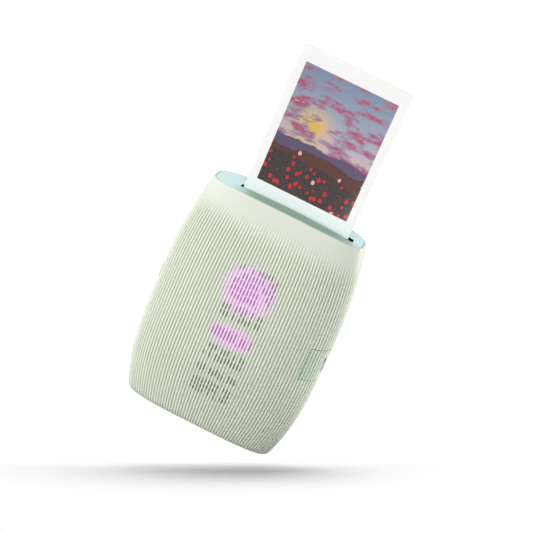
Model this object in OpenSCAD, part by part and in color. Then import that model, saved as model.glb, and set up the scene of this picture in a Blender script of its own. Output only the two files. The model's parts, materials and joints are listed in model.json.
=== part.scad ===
// Compact printer for instant film. Millimetres, Z up, X to the right, Y to the back.
// The origin is the middle of the foot. The case is a barrel in plan and in elevation, with
// upright ribs that run round it like staves; the film leaves through the cap at the top.

/* [Case] */
// Greatest width of the case
body_w = 90.3; // [88:0.1:98]
// Greatest depth of the case
body_d = 34.6; // [34.2:0.1:38]
// Height of the case at the middle of its top
body_h = 125; // [124:0.5:132]
// How much narrower the top rim is than the waist
top_taper = 13.1; // [9:0.1:13.6]
// Depth at the top rim
top_d = 21.6; // [21.4:0.1:25]
// How much narrower the foot is than the waist, before its edge is rounded
base_taper = 14.3; // [9:0.1:15.6]
// Depth at the foot, before its edge is rounded
base_d = 18.8; // [18.2:0.1:23]
// Height of the widest point
waist_z = 53.4; // [48:0.2:60]
// Height of the deepest point
belly_z = 59.3; // [56:0.1:63]
// How far the top face drops from its middle to its ends
top_arch = 1.9; // [1.2:0.1:2.2]
// Rounding round the foot
foot_r = 2.8; // [2.2:0.1:3.2]
// Thickness of the case wall
wall = 1.8; // [1.4:0.05:1.9]
// Thickness of the thin rim round the cap and the base
lip = 0.6; // [0.5:0.05:0.8]

/* [Ribs] */
// Height of each rib over the valley beside it
rib_depth = 0.45; // [0.2:0.05:0.7]
// Distance below the top at which the ribs have died out
rib_stop = 4; // [3:0.5:6]
// Distance below the top at which the ribs start to die out
rib_fade = 17; // [13:1:25]

/* [Caps] */
// Thickness of the top cap
cap_t = 2; // [1.6:0.1:2.4]
// Thickness of the base plate
base_t = 1.5; // [1.2:0.1:1.6]
// Gap round a fixed panel
seam = 0.1; // [0.05:0.01:0.15]

/* [Film] */
// Thickness of a film sheet
film_t = 0.25; // [0.2:0.01:0.28]
// Middle of the film across the case
film_x = 3.3; // [2.6:0.1:3.8]
// Plane of the film sheet that is printed
film_y = -3; // [-3.2:0.05:-2.8]
// Length of the printed film that is still in the case
film_held = 10; // [9.6:0.1:20]
// Sheets that are still in the pack
sheets_left = 9; // [1:1:9]
// Distance from one stacked sheet to the next
sheet_pitch = 0.3; // [0.3:0.01:0.32]
// Thickness of the stacked sheets
stack_sheet_t = 0.27; // [0.2:0.01:0.28]
// Room on each side of the film in the slot
slot_side = 1.4; // [1:0.1:1.8]
// Extra room at the right end of the slot
slot_extra = 1.2; // [0.4:0.1:1.6]
// Depth of the slot from front to back
slot_d = 3; // [2.4:0.1:3.2]

/* [Film pack] */
// Width of the case less that of the film pack
flank_room = 33.1; // [32.9:0.1:33.6]
// Depth of the film pack
pack_d = 12.5; // [11.6:0.1:12.6]
// Distance from the film pack up to the roller axes
nose = 11.5; // [10.5:0.1:11.8]
// Height of the underside of the film pack
pack_z = 16; // [15.8:0.1:17]
// Wall of the film pack
pack_wall = 1.2; // [0.9:0.05:1.2]

/* [Film door] */
// Height of the door's lower edge
door_z0 = 16; // [14:0.5:20]
// Distance of the door's upper edge below the top
door_drop = 15; // [14:0.5:19]
// Distance of the film window below the door's upper edge
window_drop = 12; // [10:0.5:16]
// Height of the film window in the door
window_tall = 14; // [10:0.5:16]
// Gap round the door
door_gap = 0.2; // [0.15:0.01:0.3]
// Gap along the hinged edge
hinge_gap = 0.4; // [0.36:0.01:0.6]
// Radius of the hinge knuckles
knuckle_r = 1.3; // [1.1:0.05:1.5]
// Radius of the hinge pin
hinge_pin_r = 0.6; // [0.5:0.02:0.7]
// Length of the whole hinge
hinge_len = 32; // [26:0.5:36]
// Length of the door's knuckle
door_knuckle = 16; // [12:0.5:20]

/* [Grip and lock] */
// Height of the grip's lower edge
grip_z0 = 50.5; // [48:0.5:52]
// Height of the grip's upper edge
grip_z1 = 69; // [66:0.5:72]
// Rounding of the grip's front corners
grip_r = 2; // [0:0.5:5]
// Length of the slot that the lock slides in
lock_slot = 8.6; // [8:0.1:10]
// Width of the slot that the lock slides in
lock_slot_w = 4.2; // [2.2:0.1:5]
// Travel of the lock
lock_travel = 3; // [2:0.1:3.4]

/* [Side controls] */
// Height of the middle of the power button
button_z = 66; // [62:0.5:70]
// Length of the power button
button_len = 10; // [8:0.2:12]
// Width of the power button
button_w = 4; // [3.4:0.1:5]
// Travel of the power button
button_travel = 0.6; // [0.4:0.05:0.65]
// Height of the middle of the charging port
port_z = 24; // [23:0.5:27]

/* [Rollers and gears] */
// Radius of the two film rollers
roller_r = 2.1; // [1.9:0.05:2.15]
// Distance of the roller axes below the top
roller_drop = 8.5; // [8:0.1:9]
// Gap between the film and each roller
nip = 0.02; // [0.02:0.01:0.04]
// Radius of the roller shafts
shaft_r = 1; // [0.8:0.05:1.1]
// Radial clearance of each shaft and pin
run = 0.05; // [0.02:0.01:0.08]
// Teeth of each roller gear
roller_teeth = 15; // [15:1:16]
// Teeth of the upper idler gear
upper_teeth = 30; // [28:2:32]
// Teeth of the lower idler gear
lower_teeth = 40; // [38:2:40]
// Teeth of the motor pinion
pinion_teeth = 12; // [12:2:14]
// Width of the gear teeth
gear_w = 2.5; // [2:0.1:2.6]
// Radius of the motor
motor_r = 5.5; // [4.5:0.1:5.8]
// Length of the motor
motor_len = 7; // [6:0.1:8.4]

/* [Frame] */
// Thickness of the frame's side plates
plate_t = 1.5; // [1.2:0.05:1.6]
// Radius of the screw bosses
boss_r = 2.2; // [1.8:0.1:2.4]
// Radius of the screw shanks
screw_r = 0.85; // [0.7:0.05:1]

/* [Hidden] */
$fn = 48;

sage = "#c9d6bd";
aqua = "#bfe0de";
accent = "#a3c4a4";
black = "#1c1d1f";
steel = "#b9bcc0";
board_green = "#2c6e49";

// ---- The form of the case ----

// Staves are counted in half ribs from the middle of the front (0) round the right side (64)
// to the middle of the back (128) and on to the left side (192, the same line as -64).
quarter = 64;
half_turn = 2 * quarter;
full_up = 2.84;
full_down = 2.7;
round_x = 2.34;
round_x_foot = 2.88;
round_y = 2.11;
round_y_top = 3.4;
round_y_foot = 3.51;

top_w = body_w - top_taper;
base_w = body_w - base_taper;
rib_top_z = body_h - rib_stop;
rib_fade_z = body_h - rib_fade;

function clamp01(v) = max(0, min(1, v));
function rise(z, mid) = clamp01((z - mid) / (body_h - mid));
function fall(z, mid) = clamp01((mid - z) / mid);
function foot_inset(z) = z < foot_r ? foot_r - sqrt(foot_r * foot_r - pow(foot_r - z, 2)) : 0;
function half_w(z) = body_w / 2 - (body_w - top_w) / 2 * pow(rise(z, waist_z), full_up)
    - (body_w - base_w) / 2 * pow(fall(z, waist_z), full_down) - foot_inset(z);
function half_d(z) = body_d / 2 - (body_d - top_d) / 2 * pow(rise(z, belly_z), 2)
    - (body_d - base_d) / 2 * pow(fall(z, belly_z), 2) - foot_inset(z);
function exp_x(z) = round_x + (round_x_foot - round_x) * pow(fall(z, belly_z), 2);
function exp_y(z) = round_y + (round_y_top - round_y) * pow(rise(z, belly_z), 2)
    + (round_y_foot - round_y) * pow(fall(z, belly_z), 2);
// Half depth of the case at a place across it
function depth_at(x, z) = half_d(z)
    * pow(max(0, 1 - pow(min(1, abs(x) / half_w(z)), exp_x(z))), 1 / exp_y(z));

// Length along the waist section from the middle, paired with the share of the half width
arc_steps = 180;
function waist_point(i) = let (a = 90 - 90 * i / arc_steps)
    [body_w / 2 * pow(max(0, cos(a)), 2 / round_x), body_d / 2 * pow(max(0, sin(a)), 2 / round_y)];
stave_table = [for (i = 0, run_len = 0; i <= arc_steps;
    run_len = run_len + (i < arc_steps ? norm(waist_point(i + 1) - waist_point(i)) : 0), i = i + 1)
    [run_len, waist_point(i)[0] / (body_w / 2)]];
quarter_len = stave_table[arc_steps][0];
half_rib = quarter_len / quarter;
function share(k) = min(1, lookup(abs(k) * half_rib, stave_table));

function fade(z) = let (u = clamp01((rib_top_z - z) / (rib_top_z - rib_fade_z))) u * u * (3 - 2 * u);
function zigzag(c) = 1 - abs(1 - abs(c) % 2);
function rib_off(c, z) = rib_depth * zigzag(c) * fade(z);
function sag(x, z) = top_arch * pow(x / (top_w / 2), 2) * pow(z / body_h, 2);

// A point of the case: stave c, height z, set in by off; ref is the height of its outline
function skin(c, z, off, ref) = let (
    back = c > quarter,
    k = back ? half_turn - c : c,
    f = abs(k) >= quarter ? 1 : share(k),
    w = half_w(ref),
    d = half_d(ref),
    nx = exp_x(ref),
    ny = exp_y(ref),
    y = d * pow(max(0, 1 - pow(f, nx)), 1 / ny),
    gx = nx * pow(f, nx - 1) / w,
    gy = ny * pow(y / d, ny - 1) / d,
    g = norm([gx, gy]),
    x = w * f - off * gx / g,
    xs = k < 0 ? -x : x)
    [xs, (back ? 1 : -1) * (y - off * gy / g), z - sag(xs, z)];

// Heights of the rings of points, and the wall behind each: a thin lip at both ends, a ledge
// behind it that the cap or the base plate rests on, and the plain wall between
ledge_w = 1.2;
floor_top = 6;
rest_h = 0.2;
step_h = 0.15;
cap_seat_z = body_h - cap_t - step_h;
lock_z = (grip_z0 + grip_z1) / 2;
door_z1 = body_h - door_drop;
window_z1 = door_z1 - window_drop;
window_z0 = window_z1 - window_tall;
low_ring_z = 2 * door_z0;
high_ring_z = (door_z1 + cap_seat_z) / 2;
case_rings = [0, lip, base_t + rest_h, base_t + rest_h + step_h, floor_top, door_z0, low_ring_z,
    grip_z0, lock_z, grip_z1, window_z0, window_z1, door_z1, high_ring_z, cap_seat_z - step_h,
    cap_seat_z, body_h];
function inner_ref(z) = z < floor_top ? 0 : z;
function inner_wall(z) = z <= base_t + rest_h || z >= cap_seat_z ? lip
    : z < floor_top ? lip + ledge_w : wall;

// Splits the span from c0 to c1 into cells, each up to four half ribs wide
function columns(c0, c1, marks) = concat([c0],
    [for (c = [-quarter:4:3 * quarter]) if (c > c0 + 1 && c < c1 - 1 && len(search(c, marks)) == 0) c],
    [for (m = marks) if (m > c0 + 1 && m < c1 - 1) m], [c1]);
function sorted(v) = len(v) <= 1 ? v : let (p = v[floor(len(v) / 2)])
    concat(sorted([for (x = v) if (x < p) x]), [for (x = v) if (x == p) x],
        sorted([for (x = v) if (x > p) x]));
function fine(a, b) = concat([a], [for (c = [ceil(a + 0.01):1:floor(b - 0.01)]) c]);
// Rounded corners at the foot and the top of an upright edge: [stave, height, way along the
// staves, way up, radius], the ways (1 or -1) leading from the corner along its two edges
function bends(c, way, z0, z1, r) = [[c, z0, way, 1, r], [c, z1, way, -1, r]];
// Height of a point, moved to the arc where it lies on an edge beside a rounded corner
function eased(c, z, bent) = let (moves = [for (b = bent)
    let (run_in = b[4] - (c - b[0]) * b[2] * half_rib)
    if (abs(z - b[1]) < 0.001 && run_in > 0 && run_in < b[4] + 0.001)
        b[3] * (b[4] - sqrt(max(0, b[4] * b[4] - run_in * run_in)))])
    len(moves) > 0 ? z + moves[0] : z;
// True where a cell lies in one of the holes, each [c0, c1, z0, z1]
function in_hole(ca, cb, za, zb, holes) = len([for (h = holes)
    if (ca >= h[0] - 0.5 && cb <= h[1] + 0.5 && za >= h[2] - 0.3 && zb <= h[3] + 0.3) 1]) > 0;

// A stretch of ribbed wall between the first and last stave of cols and over the rings
module ribbed_wall(cols, rings, holes = [], bent = []) {
    nb = len(cols);
    nr = len(rings);
    fines = concat([for (j = [0:nb - 2]) each fine(cols[j], cols[j + 1])], [cols[nb - 1]]);
    nf = len(fines);
    starts = [for (j = 0, s = 0; j < nb; s = s + (j < nb - 1 ? len(fine(cols[j], cols[j + 1])) : 0),
        j = j + 1) s];
    points = concat(
        [for (z = rings) for (c = fines) let (e = eased(c, z, bent)) skin(c, e, rib_off(c, e), e)],
        [for (z = rings) for (c = cols) let (e = eased(c, z, bent))
            skin(c, e, inner_wall(e), inner_ref(e))]);
    function o(r, f) = r * nf + f;
    function n(r, j) = nr * nf + r * nb + j;
    function solid(r, j) = r >= 0 && r < nr - 1 && j >= 0 && j < nb - 1
        && !in_hole(cols[j], cols[j + 1], rings[r], rings[r + 1], holes);
    // The strip between the fine outer edge and the plain inner edge of a cell, at ring r
    function strip(r, j) = let (a = starts[j], b = starts[j + 1], h = floor((a + b) / 2)) concat(
        [for (f = [a:1:h - 1]) [o(r, f), n(r, j), o(r, f + 1)]],
        [[o(r, h), n(r, j), n(r, j + 1)]],
        [for (f = [h:1:b - 1]) [o(r, f), n(r, j + 1), o(r, f + 1)]]);
    function flip(faces) = [for (t = faces) [t[2], t[1], t[0]]];
    faces = [for (r = [0:nr - 2]) for (j = [0:nb - 2]) if (solid(r, j)) each concat(
        [for (f = [starts[j]:1:starts[j + 1] - 1]) each [
            [o(r, f), o(r + 1, f), o(r + 1, f + 1)], [o(r, f), o(r + 1, f + 1), o(r, f + 1)]]],
        [[n(r, j), n(r + 1, j + 1), n(r + 1, j)], [n(r, j), n(r, j + 1), n(r + 1, j + 1)]],
        solid(r + 1, j) ? [] : strip(r + 1, j),
        solid(r - 1, j) ? [] : flip(strip(r, j)),
        solid(r, j + 1) ? [] : let (f = starts[j + 1])
            [[o(r, f), o(r + 1, f), n(r + 1, j + 1)], [o(r, f), n(r + 1, j + 1), n(r, j + 1)]],
        solid(r, j - 1) ? [] : let (f = starts[j])
            [[o(r, f), n(r + 1, j), o(r + 1, f)], [o(r, f), n(r, j), n(r + 1, j)]])];
    polyhedron(points, faces, convexity = 8);
}

// The plan outline at height z, set in by inset
function outline(z, inset) = concat(
    [for (c = sorted(columns(-quarter, quarter, []))) let (p = skin(c, z, inset, z)) [p[0], p[1]]],
    [for (c = sorted(columns(quarter, 3 * quarter, []))) if (c > quarter && c < 3 * quarter)
        let (p = skin(c, z, inset, z)) [p[0], p[1]]]);

// All that lies under the arched top face, lowered by drop
arch_r = (pow(top_w / 2, 2) + pow(top_arch, 2)) / (2 * top_arch);
module under_arch(drop) {
    translate([0, -body_d, body_h - drop - arch_r]) rotate([-90, 0, 0])
        cylinder(r = arch_r, h = 2 * body_d, $fn = 720);
}

// ---- Film, slot and pack ----
roller_z = body_h - roller_drop;
pack_w = body_w - flank_room;
pack_h = roller_z - nose - pack_z;
sheet_room = 0.3;
sheet_side = 0.1;
film_w = pack_w - 2 * (pack_wall + sheet_room + sheet_side);
film_h = pack_h - 2 * (pack_wall + sheet_room);
film_left = film_x - film_w / 2;
film_right = film_x + film_w / 2;
film_z = body_h - film_held;
slot_x0 = film_left - slot_side;
slot_x1 = film_right + slot_side + slot_extra;
slot_front = film_y - film_t / 2 - 0.25;
pack_left = film_x - pack_w / 2;
pack_right = film_x + pack_w / 2;
pack_front = film_y - 1.5;
pack_back = pack_front + pack_d;
pack_top = pack_z + pack_h;
pack_inner_x = film_w / 2 + sheet_room;
pack_floor = pack_z + pack_wall;
picture_side = 4;
picture_low = 16.5;
picture_top = 7.5;
picture_z = pack_floor + picture_low;
picture_w = film_w - 2 * picture_side;
picture_h = film_h - picture_low - picture_top;
film_path = 0.45;
guide_front = film_y - film_t / 2 - 0.3;
guide_back = film_y + film_t / 2 + 0.3;
stack_front = film_y + film_t / 2 + 0.075;
stack_back = stack_front + sheets_left * sheet_pitch + 0.2;
leaf_len = 40;

// ---- Frame ----
fit_gap = 0.1;
plate_left = pack_left - fit_gap;
plate_right = pack_right + fit_gap;
frame_front = pack_front - 2;
frame_back = pack_back - 1.8;
frame_z0 = pack_z - 4;
journal_wall = 0.5;
plate_top = roller_z + shaft_r + journal_wall;
neck_h = 1.2;
neck_wall = 1.2;
frame_top = plate_top + neck_h;
ear_t = 2;
ear_half = 4;
left_ear_reach = 4.6;
right_ear_reach = 2.9;
left_ear_x = plate_left - plate_t - left_ear_reach;
right_ear_x = plate_right + plate_t + right_ear_reach;
low_ear_rise = 8;
high_ear_drop = 21;
gear_room = 12;
low_ear_z = pack_z + low_ear_rise;
right_high_z = pack_top - high_ear_drop;
left_high_z = right_high_z - gear_room;
screw_places = [[left_ear_x, low_ear_z], [left_ear_x, left_high_z],
    [right_ear_x, low_ear_z], [right_ear_x, right_high_z]];
post_r = 1.4;

// ---- Rollers and gears ----
roller_off = film_t / 2 + nip + roller_r;
roller_over = 0.5;
front_roller_y = film_y - roller_off;
rear_roller_y = film_y + roller_off;
gear_module = 2 * roller_off / roller_teeth;
function pitch_r(n) = n * gear_module / 2;
upper_z = roller_z - pitch_r(roller_teeth) - pitch_r(upper_teeth);
lower_z = upper_z - pitch_r(upper_teeth) - pitch_r(lower_teeth);
pinion_z = lower_z - pitch_r(lower_teeth) - pitch_r(pinion_teeth);
gear_x1 = plate_left - plate_t - 0.4;
gear_x0 = gear_x1 - gear_w;
shaft_x0 = gear_x0 - 0.3;
bracket_t = 0.8;
bracket_x1 = gear_x0 - 0.4;
motor_x1 = bracket_x1 - bracket_t;
motor_x0 = motor_x1 - motor_len;
pin_r = 0.9;
motor_shaft_r = 0.75;
bracket_z0 = pinion_z - 7.5;
bracket_z1 = pinion_z + 6.5;

// ---- Door, hinge, grip and lock ----
right_edge = 46;
hinge_edge = 48;
door_c0 = half_turn - right_edge;
door_c1 = half_turn + hinge_edge;
hinge_mid_z = 60;
hinge_c = door_c1 - hinge_gap / half_rib;
hinge_point = skin(hinge_c, hinge_mid_z, 0, hinge_mid_z);
hinge_x = hinge_point[0];
hinge_y = hinge_point[1] - 0.3;
// The rear shell's posts reach the frame just outside the door's edges
post_clear = 2;
post_high_z = (bracket_z0 + button_z) / 2 + 1;
post_places = [for (s = [-1, 1]) for (z = [pack_z, post_high_z])
    [s * (share(hinge_edge) * half_w(z) + post_clear), z]];
knuckle_gap = 0.1;
pin_bore_r = hinge_pin_r + run;
case_door_hole = [door_c0, door_c1, door_z0, door_z1];
front_grip_hole = [right_edge, quarter, grip_z0, grip_z1];
rear_grip_hole = [quarter, half_turn - right_edge, grip_z0, grip_z1];
leaf_c0 = door_c0 + door_gap / half_rib;
leaf_z0 = door_z0 + door_gap;
leaf_z1 = door_z1 - door_gap;
door_rings = [leaf_z0, low_ring_z, grip_z0, lock_z, grip_z1, window_z0, window_z1, leaf_z1];
window_hole = [half_turn - 4, half_turn + 4, window_z0, window_z1];
window_half = skin(window_hole[0], window_z1, 0, window_z1)[0];
grip_join = 0.02;
spring_x = 14;
spring_w = 8;
spring_h = 16;
spring_z = (pack_z + pack_top) / 2;
lock_knob = lock_slot - lock_travel - 0.4;

// ---- Left side ----
side_x = 7.6 - body_w / 2;
side_board_t = 1;
port_h = 8.94;
port_w = 3.26;
port_wall = 0.3;
side_board_z0 = port_z - 5.8;
side_board_z1 = post_high_z - post_r - 1;
side_posts = [port_z + 10, left_high_z - 14];
button_flange_x = -(half_w(button_z) - wall - 1);

// ---- Boards, battery and light ----
screw_len = 5;
screw_head_r = 1.6;
screw_head_h = 1;
board_y0 = frame_front + 0.2;
board_t = 1;
board_rise = 4;
board_z0 = pack_z + board_rise;
board_z1 = right_high_z;
head_room = 8.4;
head_y0 = head_room - body_d / 2;
head_y1 = pack_front - 0.4;
head_gap = 4;
head_h = 7;
head_z0 = board_z1 + head_gap;
head_z1 = head_z0 + head_h;
head_bar_z0 = head_z1 + 3;
bar_h = 4;
guide_t = 0.9;
guide_z0 = pack_top + 1.5;
guide_z1 = pack_top + 7;
// Chips on the main board: left end from the film's left edge, foot below the board's top,
// width, height and thickness
chips = concat([[7.7, 22, 18, 16, 1.6], [31.7, 24, 12, 10, 1.2], [33.7, 10, 8, 5, 1.8]],
    [for (i = [0:3]) [1.7, 22 - 4 * i, 3, 2, 0.7]]);
battery_rise = 4;
battery_drop = 28;
battery_z0 = board_z0 + battery_rise;
battery_z1 = board_z1 - battery_drop;
battery_left = 4;
battery_right = 8;
light_x = 2;
light_room = 6.1;
light_board_y0 = light_room - body_d / 2;
light_board_t = 0.8;
light_board_w = 27;
light_board_z0 = 20;
light_board_z1 = 96;
light_w = light_board_w - 7;
light_post_r = 1.4;
light_post_zs = [42, 66];
light_posts = [for (s = [-1, 1]) for (z = light_post_zs) [light_x + s * (light_w / 2 + 1.8), z]];
// Middle height and height of each light cell, from the top
light_cells = [[86, 15], [71.5, 8], [59.5, 8], [47.5, 8], [37, 6], [26.5, 9]];

// ---- Gear teeth ----
pressure = 25;
addendum = 0.8;
dedendum = 1.05;
backlash = 0.03;
function roll(r, base) = let (t = sqrt(max(0, pow(r / base, 2) - 1))) t * 180 / PI - atan(t);
// Turn of gear 2 that meshes with gear 1, which lies in the direction alpha + 180 from it
function mesh_turn(turn1, n1, n2, alpha) = alpha + 180 - ((turn1 - alpha) * n1 + 180) / n2;
lower_turn = 90;
upper_turn = mesh_turn(lower_turn, lower_teeth, upper_teeth, 90);
rear_turn = mesh_turn(upper_turn, upper_teeth, roller_teeth, 90);
front_turn = mesh_turn(rear_turn, roller_teeth, roller_teeth, 180);
pinion_turn = mesh_turn(lower_turn, lower_teeth, pinion_teeth, 270);

// Puts a shape drawn in the XY plane upright, with its own Z along X
module along_x(x, y, z) {
    translate([x, y, z]) rotate([90, 0, 90]) children();
}
module along_y(x, y, z) {
    translate([x, y, z]) rotate([-90, 0, 0]) children();
}
// A block given by its low and high corners
module block(a, b) {
    translate(a) cube(b - a);
}
// A prism with round ends, long in its own Y
module pill(len, width, h) {
    straight = len - width;
    translate([-width / 2, -straight / 2, 0]) cube([width, straight, h]);
    for (s = [-1, 1]) translate([0, s * straight / 2, 0]) cylinder(d = width, h = h);
}

module front_shell() color(sage) difference() {
    union() {
        ribbed_wall(sorted(columns(-quarter, quarter, [right_edge])), case_rings,
            [front_grip_hole], bends(right_edge, 1, grip_z0, grip_z1, grip_r));
        for (p = screw_places) {
            reach = depth_at(abs(p[0]) + boss_r, p[1]) - wall / 2;
            along_y(p[0], -reach, p[1]) cylinder(r = boss_r, h = reach - ear_t / 2);
        }
        for (p = light_posts) {
            reach = depth_at(abs(p[0]) + light_post_r, p[1]) - wall / 2;
            along_y(p[0], -reach, p[1]) cylinder(r = light_post_r, h = reach + light_board_y0);
        }
    }
    for (p = screw_places) along_y(p[0], -ear_t / 2 - screw_len, p[1])
        cylinder(r = screw_r + 0.01, h = screw_len + 1);
    side_cuts();
}
// The openings for the power button and the charging port, which both shells share
module side_cuts() {
    along_x(-body_w / 2 - 1, 0, button_z)
        pill(button_len + 2 * seam, button_w + 2 * seam, body_w / 2 + side_x + 4);
    along_x(-body_w / 2 - 1, 0, port_z)
        pill(port_h + 2 * seam, port_w + 2 * seam, body_w / 2 + side_x + 4);
}
module rear_shell() color(sage) difference() {
    union() {
        ribbed_wall(sorted(columns(quarter, 3 * quarter, [door_c0])), case_rings,
            [case_door_hole, rear_grip_hole]);
        for (s = [-1, 1]) knuckle(s);
        for (p = post_places) {
            reach = depth_at(abs(p[0]) + post_r, p[1]) - wall / 2;
            along_y(p[0], ear_t / 2, p[1]) cylinder(r = post_r, h = reach - ear_t / 2);
        }
    }
    translate([hinge_x, hinge_y, hinge_mid_z - door_knuckle / 2 - knuckle_gap])
        cylinder(r = knuckle_r + door_gap, h = door_knuckle + 2 * knuckle_gap);
    hinge_bore();
    side_cuts();
}
// One of the case's two knuckles, above (1) or below (-1) the door's own
module knuckle(s) {
    h = (hinge_len - door_knuckle) / 2 - knuckle_gap;
    z = s > 0 ? hinge_mid_z + door_knuckle / 2 + knuckle_gap : hinge_mid_z - hinge_len / 2;
    translate([hinge_x, hinge_y, z]) cylinder(r = knuckle_r, h = h);
}
module hinge_bore() {
    translate([hinge_x, hinge_y, hinge_mid_z - hinge_len / 2 - 1])
        cylinder(r = pin_bore_r, h = hinge_len + 2);
}
module top_cap() color(aqua) difference() {
    intersection() {
        translate([0, 0, body_h - 8]) linear_extrude(10) polygon(outline(body_h, lip + seam));
        under_arch(0);
    }
    under_arch(cap_t);
    slot_cut(body_h - 12, body_h + 2);
}
module slot_cut(z0, z1) {
    block([slot_x0, slot_front, z0], [slot_x1, slot_front + slot_d, z1]);
}
module base_plate() color(aqua) linear_extrude(base_t) polygon(outline(0, lip + seam));
module slot_liner() color(black) difference() {
    intersection() {
        block([plate_left - plate_t, slot_front - neck_wall, frame_top],
            [plate_right + plate_t, slot_front + slot_d + neck_wall, body_h]);
        under_arch(cap_t + fit_gap);
    }
    slot_cut(frame_top - 1, body_h + 1);
}
module film_door() color(sage) difference() {
    union() {
        ribbed_wall(sorted(columns(leaf_c0, hinge_c, [])), door_rings, [window_hole]);
        translate([hinge_x, hinge_y, hinge_mid_z - door_knuckle / 2])
            cylinder(r = knuckle_r, h = door_knuckle);
    }
    for (s = [-1, 1]) {
        h = (hinge_len - door_knuckle) / 2 + 2 * knuckle_gap;
        z = s > 0 ? hinge_mid_z + door_knuckle / 2 : hinge_mid_z - hinge_len / 2 - 2 * knuckle_gap;
        translate([hinge_x, hinge_y, z]) cylinder(r = knuckle_r + door_gap, h = h);
    }
    hinge_bore();
}
module hinge_pin() color(steel) translate([hinge_x, hinge_y, hinge_mid_z - hinge_len / 2])
    cylinder(r = hinge_pin_r, h = hinge_len);

module door_window() color("#2b2a2c") {
    z0 = window_hole[2] + seam;
    z1 = window_hole[3] - seam;
    half = window_half - seam;
    along_x(-half, 0, 0) linear_extrude(2 * half) polygon([
        [half_d(z0) - wall, z0], [half_d(z0) - 0.3, z0],
        [half_d(z1) - 0.3, z1], [half_d(z1) - wall, z1]]);
}
module door_springs() color(black) for (s = [-1, 1]) {
    x = film_x + s * spring_x;
    reach = depth_at(abs(x) + spring_w / 2, spring_z - spring_h / 2) - wall - 0.3;
    block([x - spring_w / 2, pack_back + 0.3, spring_z - spring_h / 2],
        [x + spring_w / 2, reach, spring_z + spring_h / 2]);
}
module door_grip() color(accent) difference() {
    c0 = right_edge + seam / half_rib;
    ribbed_wall(sorted(columns(c0, leaf_c0 - grip_join / half_rib, [])),
        [grip_z0 + seam, lock_z, grip_z1 - seam], [],
        bends(c0, 1, grip_z0 + seam, grip_z1 - seam, grip_r - seam));
    along_x(half_w(lock_z) - wall - 1, 0, lock_z) pill(lock_slot, lock_slot_w, wall + 2);
}
module door_lock() color(black) {
    z = lock_z + lock_travel / 2;
    face = half_w(lock_z) - wall - 0.75;
    along_x(face - 0.2, 0, z) pill(lock_knob, lock_slot_w - 0.3, wall + 0.15);
    half = lock_slot_w / 2 + 0.8;
    block([face - 0.8, -half, z - lock_knob / 2 - 2], [face, half, z + lock_knob / 2 + 2]);
}
module chassis() color(black) difference() {
    union() {
        for (x = [plate_left - plate_t, plate_right]) {
            block([x, frame_front, frame_z0], [x + plate_t, frame_back, plate_top]);
            block([x, slot_front - neck_wall, plate_top - 1],
                [x + plate_t, slot_front + slot_d + neck_wall, frame_top]);
        }
        cross_bar(frame_front, frame_back, frame_z0, pack_z - fit_gap);
        cross_bar(frame_front, pack_front - fit_gap, head_bar_z0, head_bar_z0 + bar_h);
        cross_bar(guide_front - guide_t, guide_front, guide_z0, guide_z1);
        cross_bar(guide_back, guide_back + guide_t, guide_z0, guide_z1);
        for (p = screw_places) arm(p[0], p[1], boss_r + 0.4, ear_half);
        for (p = post_places) arm(p[0], p[1], post_r + 0.1, post_r + 0.1);
        for (z = side_posts) along_x(side_x + side_board_t, 0, z)
            cylinder(r = 2, h = plate_left - side_x - side_board_t - 0.1);
        block([motor_x1, frame_front, bracket_z0], [bracket_x1, frame_back - 1, bracket_z1]);
        block([motor_x1, frame_front, bracket_z0], [plate_left - 0.1, frame_back - 1, bracket_z0 + 2]);
    }
    for (y = [front_roller_y, rear_roller_y]) along_x(plate_left - plate_t - 1, y, roller_z)
        cylinder(r = shaft_r + run, h = pack_w + 2 * plate_t + 4);
    for (z = [upper_z, lower_z]) along_x(plate_left - plate_t - 1, rear_roller_y, z)
        cylinder(r = pin_r + 0.01, h = plate_t + 2);
    along_x(motor_x1 - 1, rear_roller_y, pinion_z) cylinder(r = motor_shaft_r + 0.6, h = 3);
    for (p = screw_places) along_y(p[0], -ear_t, p[1]) cylinder(r = screw_r + 0.15, h = 2 * ear_t);
}
module cross_bar(y0, y1, z0, z1) {
    block([plate_left - 0.1, y0, z0], [plate_right + 0.1, y1, z1]);
}
// An arm from a side plate out to a screw or a post
module arm(x, z, side, half) {
    block([x < 0 ? x - side : plate_right + 0.1, -ear_t / 2, z - half],
        [x < 0 ? plate_left - 0.1 : x + side, ear_t / 2, z + half]);
}
module chassis_screws() color(steel) for (p = screw_places) {
    along_y(p[0], -ear_t / 2 - screw_len + 0.3, p[1]) cylinder(r = screw_r, h = screw_len + ear_t);
    difference() {
        along_y(p[0], ear_t / 2, p[1]) cylinder(r = screw_head_r, h = screw_head_h);
        for (a = [0, 90]) translate([p[0], ear_t / 2 + 0.8 * screw_head_h, p[1]]) rotate([0, a, 0])
            cube([0.4, screw_head_h, 2], center = true);
    }
}
module film_pack() color(black) difference() {
    block([pack_left, pack_front, pack_z], [pack_right, pack_back, pack_top]);
    block([film_x - pack_inner_x, film_y - 0.4, pack_floor],
        [film_x + pack_inner_x, pack_back - pack_wall, pack_top - pack_wall]);
    block([film_x - picture_w / 2, pack_front - 1, picture_z],
        [film_x + picture_w / 2, film_y, picture_z + picture_h]);
    block([film_x - pack_inner_x, film_y - film_path, pack_top - 2 * pack_wall],
        [film_x + pack_inner_x, film_y + film_path, pack_top + 1]);
    for (s = [-1, 1]) block([film_x + s * spring_x - spring_w / 2 - 1, pack_back - 2, spring_z - 10],
        [film_x + s * spring_x + spring_w / 2 + 1, pack_back + 1, spring_z + 10]);
}
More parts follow.
